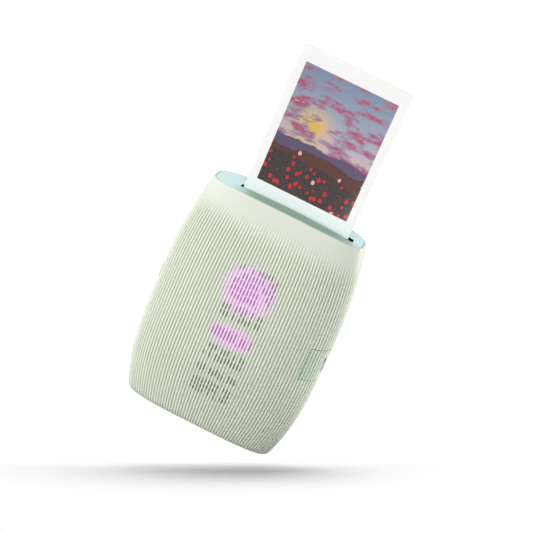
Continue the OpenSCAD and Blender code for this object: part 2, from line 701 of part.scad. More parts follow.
module pressure_plate() color(steel) {
    block([film_x - film_w / 2 + 1, stack_back, pack_floor + 3],
        [film_x + film_w / 2 - 1, stack_back + 0.5, pack_top - pack_wall - 3]);
    // Two bowed leaves between the plate and the back of the pack
    rise_y = pack_back - pack_wall - stack_back - 0.5 - 0.1;
    r = (pow(leaf_len / 2, 2) + pow(rise_y, 2)) / (2 * rise_y);
    for (s = [-1, 1]) intersection() {
        along_x(film_x + s * 20 - 3, pack_back - pack_wall - 0.1 - r, spring_z) difference() {
            cylinder(r = r, h = 6, $fn = 180);
            translate([0, 0, -1]) cylinder(r = r - 0.4, h = 8, $fn = 180);
        }
        block([film_x - film_w, stack_back + 0.3, pack_z], [film_x + film_w, pack_back, pack_top]);
    }
}
module film_stack() color("#e9e7e1") for (i = [0:sheets_left - 1])
    block([film_left, stack_front + i * sheet_pitch, pack_floor + 0.2],
        [film_right, stack_front + i * sheet_pitch + stack_sheet_t, pack_floor + 0.2 + film_h]);
module film_sheet() color("#f4f4f2")
    block([film_left, film_y - film_t / 2, film_z], [film_right, film_y + film_t / 2, film_z + film_h]);

module roller(y) color(steel) {
    along_x(film_left - roller_over, y, roller_z)
        cylinder(r = roller_r, h = film_w + 2 * roller_over);
    along_x(shaft_x0, y, roller_z) cylinder(r = shaft_r, h = plate_right + plate_t + 0.2 - shaft_x0);
}
module front_roller() roller(front_roller_y);
module rear_roller() roller(rear_roller_y);

// Outline of a gear with involute flanks, a tooth on the line at angle turn
module gear_outline(n, turn) {
    pitch = pitch_r(n);
    base = pitch * cos(pressure);
    root = pitch - dedendum * gear_module;
    tip = pitch + addendum * gear_module;
    low = max(base, root);
    function half(r) = 90 / n + roll(pitch, base) - roll(r, base) - backlash / pitch * 180 / PI;
    flank = [for (k = [0:3]) low + (tip - low) * k / 3];
    function at(r, a) = [r * cos(a), r * sin(a)];
    polygon([for (i = [0:n - 1]) let (a = turn + 360 * i / n) each concat(
        [at(root, a - half(low))],
        [for (r = flank) at(r, a - half(r))],
        [for (k = [3:-1:0]) at(flank[k], a + half(flank[k]))],
        [at(root, a + half(low))])]);
}
module gear(n, turn, y, z, bore) {
    along_x(gear_x0, y, z) linear_extrude(gear_w) difference() {
        gear_outline(n, turn);
        circle(r = bore);
        if (n > 20) for (a = [0:60:300]) rotate(a + 30)
            translate([(pitch_r(n) - gear_module + bore) / 2 + 0.3, 0])
                circle(r = (pitch_r(n) - bore) / 5);
    }
}
module front_roller_gear() color("#e4e1d6")
    gear(roller_teeth, front_turn, front_roller_y, roller_z, shaft_r + 0.01);
module rear_roller_gear() color("#e4e1d6")
    gear(roller_teeth, rear_turn, rear_roller_y, roller_z, shaft_r + 0.01);
module upper_idler() color("#e4e1d6")
    gear(upper_teeth, upper_turn, rear_roller_y, upper_z, pin_r + run);
module lower_idler() color("#e4e1d6")
    gear(lower_teeth, lower_turn, rear_roller_y, lower_z, pin_r + run);
module motor_pinion() color("#d9b45a") {
    gear(pinion_teeth, pinion_turn, rear_roller_y, pinion_z, motor_shaft_r - 0.1);
    along_x(motor_x1 - 4, rear_roller_y, pinion_z)
        cylinder(r = motor_shaft_r, h = gear_x1 - motor_x1 + 4);
}
module idler_pins() color(steel) for (z = [upper_z, lower_z]) {
    along_x(gear_x0 - 0.1, rear_roller_y, z) cylinder(r = pin_r, h = plate_left - gear_x0 + 0.1);
    along_x(gear_x0 - 0.3, rear_roller_y, z) cylinder(r = pin_r + 0.5, h = 0.2);
}
module motor() color(steel) along_x(motor_x0, rear_roller_y, pinion_z) difference() {
    union() {
        cylinder(r = motor_r, h = motor_len);
        cylinder(r = motor_shaft_r + 0.5, h = motor_len + 0.5);
    }
    translate([0, 0, motor_len - 4.2]) cylinder(r = motor_shaft_r + run, h = 6);
}
module exposure_head() color(black) difference() {
    block([plate_left + 0.1, head_y0, head_z0], [plate_right - 0.1, head_y1, head_z1]);
    block([film_x - picture_w / 2 - 1, head_y1 - 1.5, head_z1 - 4.5],
        [film_x + picture_w / 2 + 1, head_y1 + 1, head_z1 - 2.5]);
}
module head_lens() color("#bcd7e8")
    block([film_x - picture_w / 2 - 0.9, head_y1 - 1.4, head_z1 - 4.4],
        [film_x + picture_w / 2 + 0.9, head_y1 - 0.1, head_z1 - 2.6]);
module main_board() color(board_green)
    block([plate_left + 0.1, board_y0, board_z0], [plate_right - 0.1, board_y0 + board_t, board_z1]);
module board_parts() color("#8f9499") for (c = chips)
    block([film_left + c[0], board_y0 - c[4], board_z1 - c[1]],
        [film_left + c[0] + c[2], board_y0, board_z1 - c[1] + c[3]]);
module battery() color("#3d4653")
    block([film_left + battery_left, light_board_y0 + light_board_t + 0.2, battery_z0],
        [film_right - battery_right, board_y0 - 0.2, battery_z1]);
module light_board() color(board_green)
    block([light_x - light_board_w / 2, light_board_y0, light_board_z0],
        [light_x + light_board_w / 2, light_board_y0 + light_board_t, light_board_z1]);
module light_guide() color("#f3d9ee") for (cell = light_cells) {
    z0 = cell[0] - cell[1] / 2;
    z1 = cell[0] + cell[1] / 2;
    x = abs(light_x) + light_w / 2;
    along_x(light_x - light_w / 2, 0, 0) linear_extrude(light_w) polygon([
        [light_board_y0, z0], [-depth_at(x, z0) + wall + 0.35, z0],
        [-depth_at(x, z1) + wall + 0.35, z1], [light_board_y0, z1]]);
}
module side_board() color(board_green)
    block([side_x, -5, side_board_z0], [side_x + side_board_t, 5, side_board_z1]);
module charging_port() color(steel) {
    mouth = half_w(port_z) - 0.15;
    along_x(-mouth, 0, port_z) difference() {
        pill(port_h, port_w, mouth + side_x);
        translate([0, 0, -1]) pill(port_h - 2 * port_wall, port_w - 2 * port_wall, mouth + side_x + 0.4);
    }
    block([side_x - 4.8, -0.35, port_z - 3.35], [side_x - 0.3, 0.35, port_z + 3.35]);
}
module power_switch() color(black) {
    block([side_x - 3, -2.2, button_z - 2.2], [side_x, 2.2, button_z + 2.2]);
    along_x(button_flange_x + 0.6 + button_travel + 0.05, 0, button_z)
        cylinder(r = 0.8, h = side_x - 2 - button_flange_x - 0.65 - button_travel);
}
module power_button() color(sage) {
    face = half_w(button_z) - 0.05;
    along_x(-face, 0, button_z) pill(button_len, button_w, face + button_flange_x + 0.1);
    along_x(button_flange_x, 0, button_z) pill(button_len + 1.6, button_w + 1.6, 0.6);
}

front_shell();
rear_shell();
top_cap();
base_plate();
slot_liner();
film_door();
door_window();
door_springs();
hinge_pin();
door_grip();
door_lock();
chassis();
chassis_screws();
film_pack();
pressure_plate();
film_stack();
film_sheet();
front_roller();
rear_roller();
front_roller_gear();
rear_roller_gear();
upper_idler();
lower_idler();
idler_pins();
motor();
motor_pinion();
exposure_head();
head_lens();
main_board();
board_parts();
battery();
light_board();
light_guide();
side_board();
charging_port();
power_switch();
power_button();
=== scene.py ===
"""Looks of a compact photo printer: a fine-ribbed barrel case, its caps, print, works and studio.

Sizes and places are millimetres in the dataclasses, and metres in every mesh.
"""

import json
import logging
import math
from dataclasses import dataclass
from enum import Enum
from functools import cached_property, reduce
from typing import Callable, Sequence

import bpy
import numpy as np
from mathutils import Matrix, Vector


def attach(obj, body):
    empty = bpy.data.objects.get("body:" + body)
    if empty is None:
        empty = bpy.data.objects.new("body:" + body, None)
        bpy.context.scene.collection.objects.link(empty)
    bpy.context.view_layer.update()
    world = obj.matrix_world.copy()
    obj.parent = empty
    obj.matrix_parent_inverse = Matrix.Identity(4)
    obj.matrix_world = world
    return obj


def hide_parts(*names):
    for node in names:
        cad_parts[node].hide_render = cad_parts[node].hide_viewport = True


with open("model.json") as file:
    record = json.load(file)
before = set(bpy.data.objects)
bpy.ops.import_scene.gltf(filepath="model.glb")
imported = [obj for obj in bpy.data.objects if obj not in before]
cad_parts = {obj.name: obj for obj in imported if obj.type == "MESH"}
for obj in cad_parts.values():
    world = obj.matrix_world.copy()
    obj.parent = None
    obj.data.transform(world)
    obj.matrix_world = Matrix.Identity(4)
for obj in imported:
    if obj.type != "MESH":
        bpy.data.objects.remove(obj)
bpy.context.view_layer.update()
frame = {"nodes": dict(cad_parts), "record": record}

MM = 0.001
ROUND_SIDES = 32
LOG = logging.getLogger("photo_printer")
Numbers = np.ndarray
Colour = tuple[float, float, float, float]


class Slot(Enum):
    """The record's material slots."""

    SAGE = "sage_shell"
    AQUA = "aqua_cap"
    ACCENT = "accent_green"
    BLACK = "black_plastic"
    WINDOW = "dark_window"
    STEEL = "bright_steel"
    PAPER = "film_paper"
    RESIN = "gear_resin"
    BRASS = "brass_pinion"
    LENS = "clear_lens"
    BOARD = "board_green"
    SHIELD = "shield_metal"
    WRAP = "battery_wrap"
    LIGHT = "light_pink"


class Axis(Enum):
    """Directions that a rod lies along or a cut faces."""

    X = (1.0, 0.0, 0.0)
    Y = (0.0, 1.0, 0.0)
    Z = (0.0, 0.0, 1.0)


class Part(Enum):
    """What is selected in edit mode."""

    FACE = "polygons"
    EDGE = "edges"


# ---- Form of the case ----


@dataclass(frozen=True)
class BarrelForm:
    """The barrel form of the case, by stave (in half ribs from the middle of the front) and height.

    Stave 0 is the middle of the front, 64 the right side, 128 the middle of the back and 192 the
    left side, which is also -64. Crests lie at even staves and valleys at odd ones.
    """

    body_w: float = 90.3
    body_d: float = 34.6
    body_h: float = 125.0
    top_w: float = 77.2
    top_d: float = 21.6
    base_w: float = 76.0
    base_d: float = 18.8
    waist_z: float = 53.4
    belly_z: float = 59.3
    top_arch: float = 1.9
    foot_r: float = 2.8
    wall: float = 1.8
    lip: float = 0.6
    rib_depth: float = 0.45
    rib_top_z: float = 119.5
    rib_fade_z: float = 105.0
    rim_r: float = 0.35
    full_up: float = 2.84
    full_down: float = 2.7
    round_x: float = 2.34
    round_x_foot: float = 2.88
    round_y: float = 2.11
    round_y_top: float = 3.4
    round_y_foot: float = 3.51
    quarter: int = 64

    def rise(self, z: Numbers, mid: float) -> Numbers:
        """Share of the way from mid up to the top."""
        return np.clip((z - mid) / (self.body_h - mid), 0, 1)

    def fall(self, z: Numbers, mid: float) -> Numbers:
        """Share of the way from mid down to the foot."""
        return np.clip((mid - z) / mid, 0, 1)

    def foot_inset(self, z: Numbers) -> Numbers:
        """How far the rounding at the foot sets the outline in."""
        low = np.clip(self.foot_r - z, 0, self.foot_r)
        return self.foot_r - np.sqrt(self.foot_r**2 - low**2)

    def half_w(self, z: Numbers) -> Numbers:
        """Half width of the outline at height z."""
        up = (self.body_w - self.top_w) / 2 * self.rise(z, self.waist_z) ** self.full_up
        down = (self.body_w - self.base_w) / 2 * self.fall(z, self.waist_z) ** self.full_down
        return self.body_w / 2 - up - down - self.foot_inset(z)

    def half_d(self, z: Numbers) -> Numbers:
        """Half depth of the outline at height z."""
        up = (self.body_d - self.top_d) / 2 * self.rise(z, self.belly_z) ** 2
        down = (self.body_d - self.base_d) / 2 * self.fall(z, self.belly_z) ** 2
        return self.body_d / 2 - up - down - self.foot_inset(z)

    def exp_x(self, z: Numbers) -> Numbers:
        """Power of the outline's curve across, at height z."""
        return self.round_x + (self.round_x_foot - self.round_x) * self.fall(z, self.belly_z) ** 2

    def exp_y(self, z: Numbers) -> Numbers:
        """Power of the outline's curve in depth, at height z."""
        up = (self.round_y_top - self.round_y) * self.rise(z, self.belly_z) ** 2
        down = (self.round_y_foot - self.round_y) * self.fall(z, self.belly_z) ** 2
        return self.round_y + up + down

    def depth_at(self, x: float, z: float) -> float:
        """Half depth of the case at a place across it."""
        share = min(1.0, abs(x) / float(self.half_w(z)))
        left = max(0.0, 1 - share ** float(self.exp_x(z)))
        return float(self.half_d(z)) * left ** (1 / float(self.exp_y(z)))

    @cached_property
    def stave_table(self) -> tuple[Numbers, Numbers]:
        """Length along the waist section from the middle, and the share of the half width there."""
        a = np.radians(np.linspace(90, 0, 2001))
        x = self.body_w / 2 * np.clip(np.cos(a), 0, 1) ** (2 / self.round_x)
        y = self.body_d / 2 * np.clip(np.sin(a), 0, 1) ** (2 / self.round_y)
        run = np.concatenate([[0], np.cumsum(np.hypot(np.diff(x), np.diff(y)))])
        return run, x / (self.body_w / 2)

    @cached_property
    def half_rib(self) -> float:
        """Width of half a rib along the waist."""
        return float(self.stave_table[0][-1]) / self.quarter

    def share(self, k: Numbers) -> Numbers:
        """Share of the half width at stave k, from 0 at the middle to 1 at the side."""
        run, part = self.stave_table
        return np.interp(np.abs(k) * self.half_rib, run, part)

    def fade(self, z: Numbers) -> Numbers:
        """Strength of the ribs at height z, from 1 down to 0 at the top."""
        u = np.clip((self.rib_top_z - z) / (self.rib_top_z - self.rib_fade_z), 0, 1)
        return u * u * (3 - 2 * u)

    def valley(self, c: Numbers, z: Numbers) -> Numbers:
        """Depth into a rib valley, from 0 on a crest to 1, with rounded crests."""
        return (1 - np.abs(np.cos(np.pi * c / 2))) * self.fade(z)

    def rim_inset(self, z: Numbers) -> Numbers:
        """How far the rounding of the top rim sets the skin in."""
        high = np.clip(z - (self.body_h - self.rim_r), 0, self.rim_r)
        return self.rim_r - np.sqrt(self.rim_r**2 - high**2)

    def sag(self, x: Numbers, z: Numbers) -> Numbers:
        """Drop of the arched top, growing from nothing at the foot."""
        return self.top_arch * (x / (self.top_w / 2)) ** 2 * (z / self.body_h) ** 2

    def skin(self, c: Numbers, z: Numbers, off: Numbers, ref: Numbers) -> Numbers:
        """Places on the case.

        Args:
            c: staves.
            z: heights.
            off: how far each place is set in from the outline.
            ref: heights whose outline is used, which differ from z behind the foot.

        Returns:
            An array of points, one row each.
        """
        back = c > self.quarter
        k = np.where(back, 2 * self.quarter - c, c)
        f = np.where(np.abs(k) >= self.quarter, 1.0, self.share(k))
        w, d, nx, ny = self.half_w(ref), self.half_d(ref), self.exp_x(ref), self.exp_y(ref)
        y = d * np.clip(1 - f**nx, 0, 1) ** (1 / ny)
        gx = nx * f ** (nx - 1) / w
        gy = ny * (y / d) ** (ny - 1) / d
        g = np.hypot(gx, gy)
        x = w * f - off * gx / g
        x = np.where(k < 0, -x, x)
        side = np.where(back, 1.0, -1.0)
        return np.stack([x, side * (y - off * gy / g), z - self.sag(x, z)], axis=1)


FORM = BarrelForm()
LEFT_OF_FRONT, RIGHT, LEFT_OF_BACK = -FORM.quarter, FORM.quarter, 3 * FORM.quarter


# ---- Modelling with Blender's own tools ----


def select_only(*objects: bpy.types.Object) -> None:
    """Selects these objects alone and makes the last one active."""
    if bpy.context.mode != "OBJECT":
        bpy.ops.object.mode_set(mode="OBJECT")
    bpy.ops.object.select_all(action="DESELECT")
    for o in objects:
        o.select_set(True)
    bpy.context.view_layer.objects.active = objects[-1] if objects else None


def new_piece(name: str, add: Callable[..., object], **how: object) -> bpy.types.Object:
    """Adds one primitive with nothing else selected.

    Args:
        name: the piece's name.
        add: the primitive operator.
        how: the operator's settings.

    Returns:
        The new object.
    """
    select_only()
    add(**how)
    made = bpy.context.active_object
    made.name = made.data.name = name
    return made


def settle(o: bpy.types.Object) -> None:
    """Puts the object's place, turn and scale into its mesh."""
    select_only(o)
    bpy.ops.object.transform_apply(location=True, rotation=True, scale=True)


def edit_only(o: bpy.types.Object, kind: Part, chosen: Callable[..., bool]) -> None:
    """Opens edit mode with only the chosen faces or edges selected.

    Args:
        o: the mesh object.
        kind: whether faces or edges are chosen.
        chosen: takes a face or an edge and says whether it is wanted.
    """
    select_only(o)
    mesh = o.data
    bpy.context.tool_settings.mesh_select_mode = (False, kind is Part.EDGE, kind is Part.FACE)
    parts = getattr(mesh, kind.value)
    picked = [bool(chosen(p)) for p in parts]
    for group in (mesh.vertices, mesh.edges, mesh.polygons):
        group.foreach_set("select", [False] * len(group))
    parts.foreach_set("select", picked)
    bpy.ops.object.mode_set(mode="EDIT")


def leave_edit() -> None:
    """Goes back to object mode."""
    bpy.ops.object.mode_set(mode="OBJECT")


def apply_modifier(o: bpy.types.Object, kind: str, **settings: object) -> None:
    """Adds a modifier with these settings and applies it at once."""
    select_only(o)
    made = o.modifiers.new(kind.title(), kind)
    for key, value in settings.items():
        setattr(made, key, value)
    bpy.ops.object.modifier_apply(modifier=made.name)


def smooth(o: bpy.types.Object, degrees: float) -> None:
    """Shades the piece smooth, with edges sharper than the angle kept."""
    select_only(o)
    bpy.ops.object.shade_smooth_by_angle(angle=math.radians(degrees))


def join(parts: Sequence[bpy.types.Object]) -> bpy.types.Object:
    """Joins pieces into the first one and returns it."""
    select_only(*parts[1:], parts[0])
    bpy.ops.object.join()
    return parts[0]


def rod(name: str, axis: Axis, at: Sequence[float], radius: float, length: float
        ) -> bpy.types.Object:
    """A round rod with softened ends.

    Args:
        name: the piece's name.
        axis: the direction that it lies along.
        at: the middle of its low end.
        radius: its radius.
        length: its length.

    Returns:
        The rod.
    """
    direction = Vector(axis.value)
    middle = (Vector(at) + direction * length / 2) * MM
    turn = direction.to_track_quat("Z", "Y").to_euler()
    made = new_piece(name, bpy.ops.mesh.primitive_cylinder_add, vertices=ROUND_SIDES,
                     radius=radius * MM, depth=length * MM, location=middle, rotation=turn)
    settle(made)
    soft = min(0.15, radius * 0.12) * MM
    apply_modifier(made, "BEVEL", width=soft, segments=2, limit_method="ANGLE",
                   angle_limit=math.radians(60))
    return made


def read(group: bpy.types.bpy_prop_collection, name: str, size: int, kind: type = np.float32
         ) -> Numbers:
    """Values of a property of every part of a mesh, one row each."""
    values = np.zeros(len(group) * size, kind)
    group.foreach_get(name, values)
    return values.reshape(-1, size)


@dataclass(frozen=True)
class Opening:
    """A rounded rectangle on the flat sheet, by stave and height."""

    c0: float
    c1: float
    z0: float
    z1: float
    radius: float = 0.0
    left_round: bool = True
    right_round: bool = True

    def holds(self, c: float, z: float) -> bool:
        """Whether a place lies inside, corners taken as square."""
        return self.c0 < c < self.c1 and self.z0 < z < self.z1

    def rounded(self, c: Numbers, z: Numbers) -> tuple[Numbers, Numbers]:
        """Draws the square corners in to an arc, without folding the sheet.

        Args:
            c: staves.
            z: heights.

        Returns:
            The new staves and heights.
        """
        if self.radius <= 0:
            return c, z
        r, loose = self.radius, 1e-6
        reach = r / FORM.half_rib
        left = np.clip((self.c0 + reach - c) / reach, 0, 1) * self.left_round
        right = np.clip((c - self.c1 + reach) / reach, 0, 1) * self.right_round
        low = np.clip((self.z0 + r - z) / r, 0, 1)
        high = np.clip((z - self.z1 + r) / r, 0, 1)
        inside = ((c >= self.c0 - loose) & (c <= self.c1 + loose)
                  & (z >= self.z0 - loose) & (z <= self.z1 + loose))
        a, b = np.maximum(left, right), np.maximum(low, high)
        on = inside & (a > 0) & (b > 0)
        new_a = a * np.sqrt(1 - b * b / 2)
        new_b = b * np.sqrt(1 - a * a / 2)
        move_c = np.where(on, (a - new_a) * reach, 0) * np.where(left > 0, 1, -1)
        move_z = np.where(on, (b - new_b) * r, 0) * np.where(low > 0, 1, -1)
        return c + move_c, z + move_z


@dataclass
class RibbedSheet:
    """A stretch of the case's wall: laid out flat, cut, given its thickness and wrapped on.

    The inner face steps between the two heights of thin_low, thick_foot and thin_high.
    """

    name: str
    c0: float
    c1: float
    z0: float
    z1: float
    openings: tuple[Opening, ...] = ()
    outline: Opening | None = None
    soft: float = 0.1
    rib_step: float = 1 / 3
    row_step: float = 1.7
    thin_low: tuple[float, float] = (1.7, 1.85)
    thick_foot: tuple[float, float] = (6.0, 6.01)
    thin_high: tuple[float, float] = (122.7, 122.85)
    foot_extra: float = 1.2
    corner_rows: tuple[float, ...] = (0.15, 0.35, 0.6, 0.8, 1.0)
    edge_row: float = 0.2

    @property
    def cuts(self) -> tuple[Opening, ...]:
        """The openings, and the outline where there is one."""
        return (*self.openings, *((self.outline,) if self.outline else ()))

    def staves(self) -> list[float]:
        """The lines of columns, with one on each side of every opening."""
        lines = list(np.arange(math.ceil(self.c0 / self.rib_step) * self.rib_step,
                               self.c1 + 1e-9, self.rib_step))
        fixed = [self.c0, self.c1] + [c for o in self.openings for c in (o.c0, o.c1)
                                      if self.c0 < c < self.c1]
        lines = [c for c in lines if min(abs(c - f) for f in fixed) > self.rib_step * 0.45]
        return sorted(set(lines + fixed))

    def heights(self) -> list[float]:
        """The lines of rows, closer together at edges, steps and rounded corners."""
        fixed = [self.z0, self.z1]
        for o in self.cuts:
            fixed += [o.z0, o.z1]
            if o.radius > 0:
                for s in self.corner_rows:
                    fixed += [o.z0 + s * o.radius, o.z1 - s * o.radius]
        fixed += [*self.thin_low, *self.thick_foot, *self.thin_high]
        fixed += [FORM.foot_r * (1 - math.cos(math.radians(a))) for a in range(0, 91, 10)]
        fixed += [FORM.body_h - FORM.rim_r * (1 - math.sin(math.radians(a)))
                  for a in range(0, 91, 15)]
        fixed += [self.z0 + self.edge_row, self.z1 - self.edge_row]
        fixed = sorted({round(z, 4) for z in fixed if self.z0 <= z <= self.z1})
        lines = [fixed[0]]
        for z in fixed[1:]:
            count = max(1, round((z - lines[-1]) / self.row_step))
            lines += list(np.linspace(lines[-1], z, count + 1)[1:])
        return lines

    def inner(self, z: Numbers) -> tuple[Numbers, Numbers]:
        """The wall's thickness and the height of the inner outline, at heights z."""
        low, floor, high = (sum(pair) / 2 for pair in (self.thin_low, self.thick_foot,
                                                       self.thin_high))
        wall = np.where((z <= low) | (z >= high), FORM.lip,
                        np.where(z < floor, FORM.lip + self.foot_extra, FORM.wall))
        return wall, np.where(z < floor, 0.0, z)

    def build(self) -> bpy.types.Object:
        """Makes the sheet.

        Returns:
            A closed mesh with the attributes stave, height and valley on its points.
        """
        cs, zs = np.array(self.staves()), np.array(self.heights())
        o = new_piece(self.name, bpy.ops.mesh.primitive_grid_add, size=1.0,
                      x_subdivisions=len(cs) - 1, y_subdivisions=len(zs) - 1)
        mesh = o.data
        flat = read(mesh.vertices, "co", 3)
        c = cs[np.rint((flat[:, 0] + 0.5) * (len(cs) - 1)).astype(int)]
        z = zs[np.rint((flat[:, 1] + 0.5) * (len(zs) - 1)).astype(int)]
        flat = np.stack([c, z, np.zeros_like(c)], axis=1)
        mesh.vertices.foreach_set("co", flat.astype(np.float32).ravel())
        mesh.update()
        if self.openings:
            edit_only(o, Part.FACE, lambda p: any(h.holds(p.center.x, p.center.y)
                                                  for h in self.openings))
            bpy.ops.mesh.delete(type="FACE")
            leave_edit()
        self.mark_rim(mesh)
        apply_modifier(o, "SOLIDIFY", thickness=1.0, offset=-1.0)
        self.wrap(o.data)
        smooth(o, 38)
        return o

    def mark_rim(self, mesh: bpy.types.Mesh) -> None:
        """Marks the points on the sheet's open edges with an attribute."""
        count = np.zeros(len(mesh.edges), int)
        np.add.at(count, read(mesh.loops, "edge_index", 1, np.int32)[:, 0], 1)
        rim = np.zeros(len(mesh.vertices), np.float32)
        rim[read(mesh.edges, "vertices", 2, np.int32)[count == 1].ravel()] = 1
        mesh.attributes.new("rim", "FLOAT", "POINT").data.foreach_set("value", rim)

    def wrap(self, mesh: bpy.types.Mesh) -> None:
        """Wraps the flat sheet on the barrel, ribs outside and a plain face inside."""
        flat = read(mesh.vertices, "co", 3).astype(float)
        rim = read(mesh.attributes["rim"].data, "value", 1)[:, 0]
        outer = flat[:, 2] > -0.5
        c, z = flat[:, 0], flat[:, 1]
        for o in self.cuts:
            c, z = o.rounded(c, z)
        valley = FORM.valley(c, z)
        wall, ref = self.inner(z)
        off = np.where(outer, FORM.rib_depth * valley + self.soft * rim + FORM.rim_inset(z), wall)
        ref = np.where(outer, z, ref)
        co = FORM.skin(c, z, off, ref) * MM
        mesh.vertices.foreach_set("co", co.astype(np.float32).ravel())
        for name, values in (("stave", c), ("height", z), ("valley", np.where(outer, valley, 0))):
            made = mesh.attributes.new(name, "FLOAT", "POINT")
            made.data.foreach_set("value", values.astype(np.float32))
        mesh.attributes.remove(mesh.attributes["rim"])
        mesh.update()


# ---- Finishes ----


def srgb(r: float, g: float, b: float) -> Colour:
    """A colour of 0 to 255 per channel, as seen, made linear."""
    def line(v: float) -> float:
        """One channel made linear."""
        v /= 255
        return v / 12.92 if v <= 0.04045 else ((v + 0.055) / 1.055) ** 2.4
    return (line(r), line(g), line(b), 1.0)


def dim(colour: Colour, share: float) -> Colour:
    """A colour at a share of its brightness."""
    return tuple(v * share for v in colour[:3]) + (1.0,)


class Sketch:
    """A material's node tree, with short calls for the nodes that the finishes use."""

    def __init__(self, name: str) -> None:
        """Starts an empty tree with a principled shader."""
        self.mat = bpy.data.materials.new(name)
        self.mat.use_nodes = True
        self.tree = self.mat.node_tree
        self.tree.nodes.clear()
        self.shader = self.tree.nodes.new("ShaderNodeBsdfPrincipled")
        self.out = self.tree.nodes.new("ShaderNodeOutputMaterial")
        self.tree.links.new(self.shader.outputs[0], self.out.inputs[0])

    def put(self, name: str, value: object) -> None:
        """Sets a shader socket, or links it where the value is a socket."""
        self.feed(self.shader.inputs[name], value)

    def feed(self, socket: bpy.types.NodeSocket, value: object) -> None:
        """Links or sets any input socket."""
        if isinstance(value, bpy.types.NodeSocket):
            self.tree.links.new(value, socket)
        else:
            socket.default_value = value

    def node(self, kind: str, inputs: dict[int | str, object] | None = None,
             **props: object) -> bpy.types.Node:
        """Adds a node with its properties and inputs."""
        made = self.tree.nodes.new(kind)
        for key, value in props.items():
            setattr(made, key, value)
        for key, value in (inputs or {}).items():
            self.feed(made.inputs[key], value)
        return made

    def math(self, how: str, a: object, b: object = 0.0, c: object = 0.0
             ) -> bpy.types.NodeSocket:
        """A Math node's result."""
        return self.node("ShaderNodeMath", {0: a, 1: b, 2: c}, operation=how).outputs[0]

    def times(self, *values: object) -> bpy.types.NodeSocket:
        """The product of all the values."""
        return reduce(lambda a, b: self.math("MULTIPLY", a, b), values)

    def most(self, *values: object) -> bpy.types.NodeSocket:
        """The highest of the values."""
        return reduce(lambda a, b: self.math("MAXIMUM", a, b), values)

    def past(self, value: object, low: object, unit: float) -> bpy.types.NodeSocket:
        """How far a value is past low, in units."""
        return self.math("DIVIDE", self.math("SUBTRACT", value, low), unit)

    def oval(self, u: object, v: object, power: float) -> bpy.types.NodeSocket:
        """Distance from the middle of an oval, 1 on its outline, squarer at a higher power."""
        u, v = (self.math("POWER", self.math("ABSOLUTE", w), power) for w in (u, v))
        return self.math("ADD", u, v)

    def step(self, value: object, low: float, high: float, a: float = 0.0,
             b: float = 1.0) -> bpy.types.NodeSocket:
        """A smooth step of value from low to high, giving a to b."""
        made = self.node("ShaderNodeMapRange", {"Value": value, "From Min": low, "From Max": high,
                                                "To Min": a, "To Max": b},
                         interpolation_type="SMOOTHSTEP")
        return made.outputs[0]

    def mix(self, factor: object, a: object, b: object) -> bpy.types.NodeSocket:
        """A blend of two colours."""
        return self.node("ShaderNodeMix", {0: factor, 6: a, 7: b}, data_type="RGBA").outputs[2]

    def place(self) -> bpy.types.NodeSocket:
        """Object coordinates, in metres."""
        return self.node("ShaderNodeTexCoord").outputs["Object"]

    def scaled(self, x: float, y: float, z: float) -> bpy.types.NodeSocket:
        """Object coordinates, scaled by axis."""
        return self.node("ShaderNodeMapping", {"Vector": self.place(),
                                               "Scale": (x, y, z)}).outputs[0]

    def split(self, vector: bpy.types.NodeSocket) -> list[bpy.types.NodeSocket]:
        """The three parts of a vector."""
        return list(self.node("ShaderNodeSeparateXYZ", {0: vector}).outputs)

    def noise(self, vector: object, scale: float, detail: float = 2.0,
              rough: float = 0.5) -> bpy.types.NodeSocket:
        """Noise from 0 to 1, with its features 1/scale wide."""
        made = self.node("ShaderNodeTexNoise", {"Vector": vector, "Scale": scale,
                                                "Detail": detail, "Roughness": rough})
        return made.outputs[0]

    def chance(self, column: object, row: object) -> bpy.types.NodeSocket:
        """A number from 0 to 1 that is fixed for each column and row."""
        cell = self.node("ShaderNodeCombineXYZ", {0: column, 1: row})
        return self.node("ShaderNodeTexWhiteNoise", {"Vector": cell.outputs[0]}).outputs["Value"]

    def attribute(self, name: str) -> bpy.types.NodeSocket:
        """A number that the mesh carries."""
        return self.node("ShaderNodeAttribute", attribute_name=name).outputs["Fac"]

    def ramp(self, value: object, stops: Sequence[tuple[float, Colour]]
             ) -> bpy.types.NodeSocket:
        """A colour ramp."""
        made = self.node("ShaderNodeValToRGB", {0: value})
        ramp = made.color_ramp
        while len(ramp.elements) < len(stops):
            ramp.elements.new(0.5)
        for element, (at, colour) in zip(ramp.elements, stops):
            element.position, element.color = at, colour
        return made.outputs[0]

    def bump(self, height: object, strength: float, depth_mm: float) -> None:
        """Feeds a bump to the shader's normal."""
        made = self.node("ShaderNodeBump", {"Height": height, "Strength": strength,
                                            "Distance": depth_mm * MM})
        self.put("Normal", made.outputs["Normal"])


def seen_plainly(tree: bpy.types.NodeTree) -> bpy.types.NodeSocket:
    """1 on rays that the camera, gloss or clear plastic sends out, and 0 on the others."""
    rays = tree.nodes.new("ShaderNodeLightPath").outputs
    found = rays["Is Camera Ray"]
    for kind in ("Is Glossy Ray", "Is Transmission Ray"):
        either = tree.nodes.new("ShaderNodeMath")
        either.operation = "MAXIMUM"
        tree.links.new(found, either.inputs[0])
        tree.links.new(rays[kind], either.inputs[1])
        found = either.outputs[0]
    return found


@dataclass(frozen=True)
class Finish:
    """Any finish, which paints the node tree of one material."""

    name: str

    def paint(self, s: Sketch) -> None:
        """Paints colour, roughness and relief, in each kind's own way."""
        raise NotImplementedError(self.name)

    def make(self) -> bpy.types.Material:
        """Builds the material."""
        s = Sketch(self.name)
        self.paint(s)
        return s.mat


